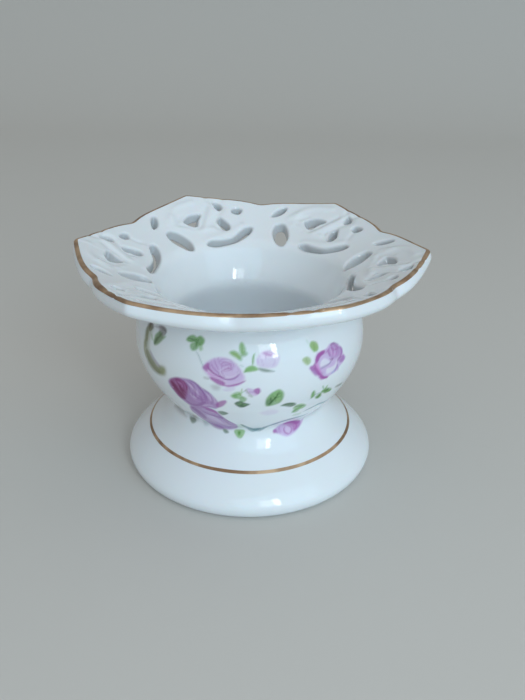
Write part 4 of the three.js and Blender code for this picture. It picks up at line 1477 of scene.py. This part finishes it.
# %% Leaves under the right rose
wash(green, 0.8, 0.4, (7.6, 17.4), (7.7, 19.5), (8.7, 21.3), (10, 22.3), (11.5, 22.8), (12.8, 21.3),
     (12.9, 19.3), (12.2, 17.4), (10.9, 16.6), (9.3, 16.1), (7.9, 16.1))
wash(leaf, 0.8, 0.4, (9, 20.7), (10.2, 22), (11.6, 22.3), (12.4, 21.1), (12.2, 19.2), (11, 18.1),
     (9.8, 18.6))
wash(pine, 0.55, 0.4, (7.7, 17.1), (8.1, 19.1), (9.2, 20), (9.6, 18), (9.1, 16.5))
brush(pine, 0.9, 0.56, (8.6, 16.8), (9.8, 18.6), (10.8, 20.4), (11.4, 21.8))
brush(leaf, 0.7, 0.31, (10.3, 21.4), (10.9, 19.8))
brush(pine, 0.5, 0.27, (11.9, 21.1), (12.3, 19.2), (11.9, 17.9))
brush(pine, 0.5, 0.28, (9.6, 20.6), (10.3, 19.5), (10.6, 18.1))
brush(pine, 0.4, 0.3, (8.8, 19.7), (9.5, 18.8), (9.9, 17.6))
wash(lilac, 0.3, 0.9, (6.2, 12.8), (9.2, 14.2), (11.8, 13.2), (11.6, 11.5), (8.6, 11))
wash(pine, 0.8, 0.35, (12.4, 15.6), (14, 16.3), (16.3, 16.1), (17.7, 14.9), (16.2, 14), (14, 14.9))
wash(leaf, 0.85, 0.4, (17, 12.9), (17.7, 14.4), (19.9, 14.4), (21.9, 12.7), (21, 11.3), (18.5, 11.4))
brush(pine, 0.55, 0.78, (17.6, 13.5), (19.3, 13.4), (21.3, 13))
wash(green, 0.6, 0.4, (17.3, 10), (17.6, 11.8), (19.9, 11), (19.2, 9.7))
brush(leaf, 0.35, 1.75, (18.4, 7.9), (21.7, 7.5))
brush(leaf, 0.85, 0.68, (22.9, 18.7), (23.1, 16.9), (22.9, 15.8))
brush(green, 0.75, 0.56, (24.2, 16.1), (25.6, 14.9), (25.9, 16.7))
brush(pine, 0.4, 1.02, (25.5, 14.5), (25.9, 14.9))
brush(leaf, 0.8, 0.95, (26.1, 17.6), (27.4, 17.8), (28.1, 19.4))
brush(green, 0.85, 1.4, (27.8, 16.4), (28.9, 16.4), (31.1, 15.9))
brush(green, 0.5, 0.36, (26, 20), (26.9, 18.3))
brush(teal, 0.5, 0.51, (22.3, 15.6), (23.9, 17.1), (26.2, 17.3))
wash(slate, 0.6, 0.4, (32.8, 16.3), (34.4, 16.6), (37.4, 15.8), (37.2, 14.7), (34.3, 15.4))
brush(teal, 0.75, 1.14, (36.4, 8.9), (33.3, 8.4), (28.9, 9.8), (26.2, 9.5), (23.8, 8.9), (22.7, 8.4))
brush(pine, 0.6, 0.27, (9.2, 17.7), (9.1, 19.9), (9.4, 21.2))
brush(pine, 0.6, 0.4, (10, 19.5), (10.9, 19.7), (11.8, 20))
brush(pine, 0.5, 0.34, (10.7, 21.1), (11.5, 21.1), (12.2, 21.5))
brush(leaf, 0.7, 0.3, (8.5, 18.9), (8.8, 20), (9.3, 20.8))
brush(leaf, 0.7, 0.43, (10.4, 17.9), (11.4, 18.1), (12.2, 19.1))
brush(pine, 0.7, 0.72, (13, 15.8), (14.5, 16.1), (17.1, 15.5))
brush(green, 0.7, 1.48, (17.8, 10.5), (18.6, 11.7), (20.1, 12.8))
brush(green, 0.6, 0.68, (22.6, 16.3), (22.7, 18.2), (23.1, 19.1))
brush(green, 0.7, 1.07, (25.1, 15.2), (26, 15.4), (26.1, 16.9))
brush(green, 0.7, 1.06, (26.5, 17.1), (27.9, 17.2), (29.4, 17))
brush(green, 0.6, 0.38, (27, 18.2), (26.2, 19.6), (26.2, 20.2))
wash(green, 0.6, 0.35, (22.6, 16.2), (22.2, 18.3), (22.8, 19.4), (23.8, 18.1), (23.9, 16.5),
     (23.3, 15.9))
wash(green, 0.65, 0.35, (24.6, 15.1), (24.7, 16.6), (25.9, 17), (27, 15.4), (26.5, 14.3), (25.6, 14.4))
wash(green, 0.65, 0.35, (26.4, 17.1), (26.8, 18.2), (28.4, 18.3), (30.8, 16.8), (30.6, 15.7),
     (28.7, 15.7))
brush(pine, 0.6, 0.96, (27.4, 17), (28.2, 17.3), (29.4, 17))
brush(pine, 0.6, 0.91, (25.2, 15.4), (25.7, 15.7), (26, 16.2))
wash(gold_leaf, 0.6, 0.4, (22, 35.9), (23.3, 35.8), (24.2, 35), (24.1, 33.6), (23, 32.9), (21.9, 33.6),
     (21.6, 34.8))
print("leaves under the right rose:", len(strokes), "strokes so far")

# %% [markdown]
# A stem runs round the waist and ties the spray on the bowl to the rose on the foot. Both are drawn
# where the sheet was bent most, so their shapes are broad and simple. The stem's line along the
# waist crease is partly printed stem and partly painted shadow of the crease.

# %% The stem round the waist
# Partly printed stem, partly painted shadow along the waist crease
brush(teal, 0.8, 1.5, (-0.3, 4.2), (1.4, 1.8), (3.9, -0.3), (7.4, 0.3))
brush(teal, 0.75, 1.45, (3.1, 0.7), (5, -0.2), (7.9, -0.1), (12.2, 2.6), (15.5, 4.2), (19.8, 4.8),
     (25.1, 4.2), (27, 4.8))
print("stem round the waist:", len(strokes), "strokes so far")

# %% The rose on the foot
wash(lilac, 0.95, 0.5, (12.8, -1.6), (13.9, -0.7), (16.5, 1.5), (19.2, 3), (25.6, -0.1), (27.9, 0.7),
     (27.3, -1.1), (25.7, -2.3), (23.4, -3.3), (20.8, -4), (18.6, -4.1), (16.1, -3.1), (14.1, -2.3))
wash(magenta, 0.65, 0.5, (17.3, 0.4), (19.9, 1.7), (25.6, -0.2), (25.8, -1.5), (23.5, -2.8),
     (21.9, -2.9), (21.8, -1.6), (20, -0.5))
brush(magenta, 0.8, 1.57, (16.9, 1.3), (20.2, 1.2), (23.9, -0.4), (25.8, -0.4))
wash(blush, 0.95, 0.4, (18.8, -1), (20, -0.8), (20.8, -1.9), (20.2, -2.9), (19, -3.1), (18.4, -2.2))
brush(magenta, 0.8, 0.49, (18.1, -0.8), (17.7, -1.9), (18.5, -3), (19.9, -3.6))
brush(magenta, 0.7, 0.5, (19.2, -0.4), (21, -1.4), (21.3, -2.6), (20.2, -3.5))
wash(magenta, 0.75, 0.35, (12.9, -1.1), (14.2, -1), (14.6, -2.1), (13.1, -2.2))
brush(blush, 0.8, 0.75, (15.3, -2.2), (17.4, -3.5))
brush(mauve, 0.5, 0.55, (15.7, -0.4), (15.2, -1.7), (16.1, -2.8))
brush(mauve, 0.6, 0.49, (13.7, -0.8), (14.3, -1.7), (14.9, -2.6))
brush(mauve, 0.5, 0.48, (15.7, -0.3), (15.8, -1.3), (16.4, -2.4))
brush(magenta, 0.6, 0.63, (21.2, 0.7), (23.5, -0.6), (23.9, -2), (22.5, -2.8))
brush(mauve, 0.6, 0.53, (23.7, 0.7), (26, -0.8), (25.3, -1.9), (23.8, -2.7))
print("rose on the foot:", len(strokes), "strokes so far")

# %% [markdown]
# The spray on the left goes round the side of the bowl. It is seen at a low angle and in shadow, so
# its colours are deep and its lines broad.

# %% The spray on the left
wash(moss, 0.5, 1, (-33.6, 26.8), (-31.9, 25.7), (-29.7, 24.5), (-27.8, 23.5), (-25.4, 22.9),
     (-26.6, 21.5), (-29.4, 21.3), (-31.8, 22.1), (-33.4, 23.8))
wash(olive, 0.75, 0.8, (-27.1, 24.2), (-25.1, 25.3), (-23.8, 24.4), (-24.4, 22.6), (-26.2, 22.1))
brush(olive, 0.6, 1.26, (-34.8, 30.4), (-34.7, 26.9), (-33.9, 24.4))
brush(moss, 0.5, 1.91, (-35.2, 34.3), (-34.4, 32.4), (-33.7, 30.5))
wash(dusk, 0.6, 0.5, (-35.4, 35.5), (-32.7, 36.4), (-31.5, 35.5), (-33, 34.3), (-34.8, 34.4))
wash(grey, 0.5, 0.5, (-28.9, 36.1), (-27.5, 36.8), (-26, 36.2), (-25.9, 34.9), (-27.5, 34.7))
brush(dusk, 0.6, 0.92, (-29.4, 36.8), (-26.9, 37.1), (-25.5, 36.5), (-25.5, 35.3))
wash(green, 0.7, 0.45, (-29.7, 34.1), (-28, 35.7), (-26.4, 34.8), (-24.8, 35.1), (-25.9, 33.4),
     (-27.6, 31.5), (-28.9, 30.9), (-29.8, 31.6), (-29.8, 32.9))
brush(pine, 0.5, 0.83, (-29.1, 31), (-29, 32.3), (-28.3, 33.7))
brush(leaf, 0.5, 0.79, (-31.7, 33.4), (-30.3, 31.9))
brush(moss, 0.6, 2.8, (-33.4, 27.6), (-31.6, 25.5), (-29.1, 23.7), (-26.6, 22.4))
brush(moss, 0.5, 1.82, (-33.9, 36), (-34.2, 33.1), (-33.9, 30.2), (-33.7, 28))
brush(dusk, 0.7, 1.96, (-34.3, 36.1), (-33.2, 35.5), (-33, 34.4))
brush(grey_violet, 0.5, 1.36, (-31.3, 28.2), (-29, 26.1), (-25.8, 24.5))
brush(pine, 0.5, 0.82, (-28.9, 31.4), (-27.9, 33.6), (-26.7, 35.6))
wash(olive, 0.5, 1.3, (-35.4, 32.9), (-34.4, 35.5), (-32.1, 35.6), (-31.5, 33.4), (-31.9, 30.8),
     (-31.3, 28.2), (-29.2, 26.3), (-26.5, 25.1), (-23.7, 25.4), (-24.1, 22.7), (-27.3, 21.4),
     (-30.7, 22), (-33.4, 24.4), (-35.2, 27), (-35.6, 30.3))
wash(moss, 0.45, 0.5, (-29.3, 31.1), (-29.4, 32.9), (-28.6, 35.1), (-27.3, 36.9), (-25.6, 36.7),
     (-25.7, 34.7), (-26.9, 32.5), (-28.4, 31.3))
brush(dusk, 0.35, 1.01, (-31.3, 36.2), (-29.1, 36.7), (-27.1, 37), (-25.5, 36.4))
print("spray on the left:", len(strokes), "strokes so far")

# %% [markdown]
# Painting goes stroke by stroke over the points of bowl and foot. Each stroke works out how far the
# points near it are from its line. The edges of a line are soft, so even the finest one is wider
# than the gap between two points. The sheet is laid on twice, on the front and on the back.

# %% Paint the print
print_bearings = (-90, 90)
# Points further than this outside a stroke's corners get none of its ink
stroke_reach = 1.5
unevenness = 0.06


def uneven(a, b):
    """A transfer never takes quite evenly: two crossed trains of waves, over a millimetre long."""
    across = np.sin(5.1 * a + 2.3 * np.sin(3.1 * b))
    upwards = np.sin(4.3 * b + 1.7 * np.sin(2.9 * a))
    return 1 - unevenness + unevenness * across * upwards


def paint(x, y, side_run):
    """Ink colours for points on the outside of bowl and foot."""
    color = np.ones((len(x), 3))
    bearing = np.degrees(np.arctan2(y, x))
    for middle in print_bearings:
        around = (bearing - middle + 180) % 360 - 180
        a, b = np.radians(around) * sheet_radius, side_run
        took = uneven(a, b)
        for share_of, ink, strength, size, corners in strokes:
            low, high = np.min(corners, 0) - stroke_reach, np.max(corners, 0) + stroke_reach
            near = np.flatnonzero((a > low[0]) & (a < high[0]) & (b > low[1]) & (b < high[1]))
            if len(near):
                share = took[near] * strength * share_of(size, corners, a[near], b[near])
                share = share[:, None]
                color[near] = color[near] * (1 - share) + share * np.array(ink)
    return color


def run_along_outside(r, z, tolerance=0.05):
    """Distance up the outside from the waist, and whether a point lies on the outside at all."""
    line, _ = outside
    run = length_along(line)
    run -= np.interp(waist_seam, line[:, 1], run)
    on_it = np.abs(r - np.interp(z, line[:, 1], line[:, 0])) < tolerance
    return np.interp(z, line[:, 1], run), on_it


for piece in (foot, bowl):
    x, y, z = places_of(piece).T
    side_run, on_outside = run_along_outside(np.hypot(x, y), z)
    color = np.ones((len(x), 3))
    color[on_outside] = paint(x[on_outside], y[on_outside], side_run[on_outside])
    color_attribute(piece, "ink", color)
    print(piece.name, "has", int((color.min(1) < 0.98).sum()), "inked points")

# %% [markdown]
# The gold lines are brushed on while the piece turns on a wheel, and fired last. They are a film, so
# each is a ribbon that stands a few hundredths of a millimetre proud of the glaze and follows it
# exactly. A brush never keeps its width, so neither does the ribbon.

# %% A thin closed ribbon
film = 0.035


def wobble(bearing, seed, size=0.1):
    """How far a brushed edge strays from its line: a few slow waves round the piece."""
    waves = np.random.default_rng(seed).uniform(0, 2 * math.pi, 5)
    return size * sum(np.sin((2 + 3 * k) * bearing + w) / (1 + 0.5 * k) for k, w in enumerate(waves)) / 2


def ribbon(name, outer, inner, outer_facing):
    """Closes two matching skins, each rows by columns of points, into one thin ring."""
    rows, count = outer.shape[:2]
    under = rows * count
    points = np.concatenate([outer.reshape(-1, 3), inner.reshape(-1, 3)])
    flat = outer_facing.reshape(-1, 3)
    faces, corner_facing = [], []
    for i in range(count):
        j = (i + 1) % count
        for k in range(rows - 1):
            a, b, c, d = k * count + i, k * count + j, (k + 1) * count + j, (k + 1) * count + i
            faces += [[a, b, c, d], [a + under, d + under, c + under, b + under]]
            corner_facing += [flat[a], flat[b], flat[c], flat[d]]
            corner_facing += [-flat[a], -flat[d], -flat[c], -flat[b]]
        for k in (0, rows - 1):
            a, b = k * count + i, k * count + j
            edge = [a, a + under, b + under, b]
            edge = edge if k == 0 else edge[::-1]
            faces.append(edge)
            corner_facing += [flat[v % under] for v in edge]
    return make_object(name, points, faces, corner_facing, gold)


print("film of gold:", film, "mm either side of the glaze")

# %% [markdown]
# The rim's line starts just inside the top edge and goes over it and down the side. It is laid out
# on a circle of the edge's rounding first, and then moved along the field onto the real surface.

# %% Build the rim's gold line
rim_line_width, rim_line_start = 1.4, 0.15
# The top edge starts nearly flat: this is the angle of its surface there, in degrees
edge_angle = 86
# The brush was overloaded in one place: its bearing and half width in degrees, and the extra width
blob_bearing, blob_spread, blob_width = 217, 8, 0.5
# Each round closes this share of what is left between a point and the outline
outline_rounds, outline_share = 12, 0.8
# The top is measured this far inside the outline. A few rounds then settle it on the surface
top_inset, settling_rounds, small_step = 0.3, 4, 0.1


def outline_at(bearing):
    """Plan points on the rim's outline, and the direction square to it at each."""
    radius = np.full(len(bearing), notch_radius)
    lean = np.arctan2(np.sin(bearing * lobes), np.cos(bearing * lobes)) / lobes
    for _ in range(outline_rounds):
        radius -= outline_share * look_up(edge_table, radius * np.cos(lean), radius * np.sin(lean))
    around = np.stack([radius * np.cos(bearing), radius * np.sin(bearing)], 1)
    along = np.roll(around, -1, 0) - np.roll(around, 1, 0)
    return around, np.stack([along[:, 1], -along[:, 0]], 1) / np.hypot(*along.T)[:, None]


def rim_ribbon(stations=960, rows=9):
    bearing = np.radians(np.linspace(0, 360, stations, endpoint=False))
    around, out = outline_at(bearing)
    start = rim_line_start + wobble(bearing, 3, 0.07)
    overloaded = np.exp(-(((np.degrees(bearing) - blob_bearing) / blob_spread) ** 2))
    length = rim_line_width + wobble(bearing, 4) + blob_width * overloaded
    top = flange_top(np.hypot(*around.T) - top_inset) + kiln_lift(*around.T)
    grid = []
    for share in np.linspace(0, 1, rows):
        angle = math.radians(edge_angle) - share * length / edge_rounding
        on_arc = np.maximum(angle, 0)
        over = np.where(angle > 0, np.cos(on_arc), 1.0)
        drop = edge_rounding * np.where(angle > 0, np.sin(on_arc), angle)
        inwards = start * (1 - share) + edge_rounding * (1 - over)
        grid.append(np.column_stack([around - out * inwards[:, None], top - edge_rounding + drop]))
    grid = np.array(grid)[::-1]
    flat = grid.reshape(-1, 3)
    for _ in range(settling_rounds):
        flat = flat - rim_distance(*flat.T)[:, None] * surface_facing(*flat.T, step=small_step)
    facing = surface_facing(*flat.T, step=small_step)
    outer, inner = flat + film * facing, flat - film * facing
    shape = grid.shape
    return ribbon("rim_gold_line", outer.reshape(shape), inner.reshape(shape), facing.reshape(shape))


rim_line = rim_ribbon()
print("rim line:", len(rim_line.data.vertices), "points")

# %% [markdown]
# The foot's line lies where the base roll meets the flare. Both are turned, so a stretch of the
# profile, read at every bearing, gives the ribbon.

# %% Build the foot's gold line
foot_line_width = 1.05


def foot_ribbon(rows=6, count=360):
    line, facing = foot_side
    run = length_along(line)
    bearing = np.linspace(0, 2 * math.pi, count, endpoint=False)
    centre = np.interp(foot_line_height, line[:, 1], run) + wobble(bearing, 5, 0.06)
    width = foot_line_width + wobble(bearing, 6, 0.08)
    at = centre + np.linspace(-0.5, 0.5, rows)[:, None] * width

    def turned(pairs):
        """Reads profile values (outwards, upwards) at the ribbon's points and turns them."""
        out, up = np.interp(at, run, pairs[:, 0]), np.interp(at, run, pairs[:, 1])
        return np.stack([out * np.cos(bearing), out * np.sin(bearing), up], 2)

    skin, sides = turned(line), turned(facing)
    return ribbon("foot_gold_line", skin + film * sides, skin - film * sides, sides)


foot_line = foot_ribbon()
for line, node in ((rim_line, "rim_gilding"), (foot_line, "foot_gilding")):
    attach(line, "root")
    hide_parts(node)
print("foot line:", len(foot_line.data.vertices), "points")
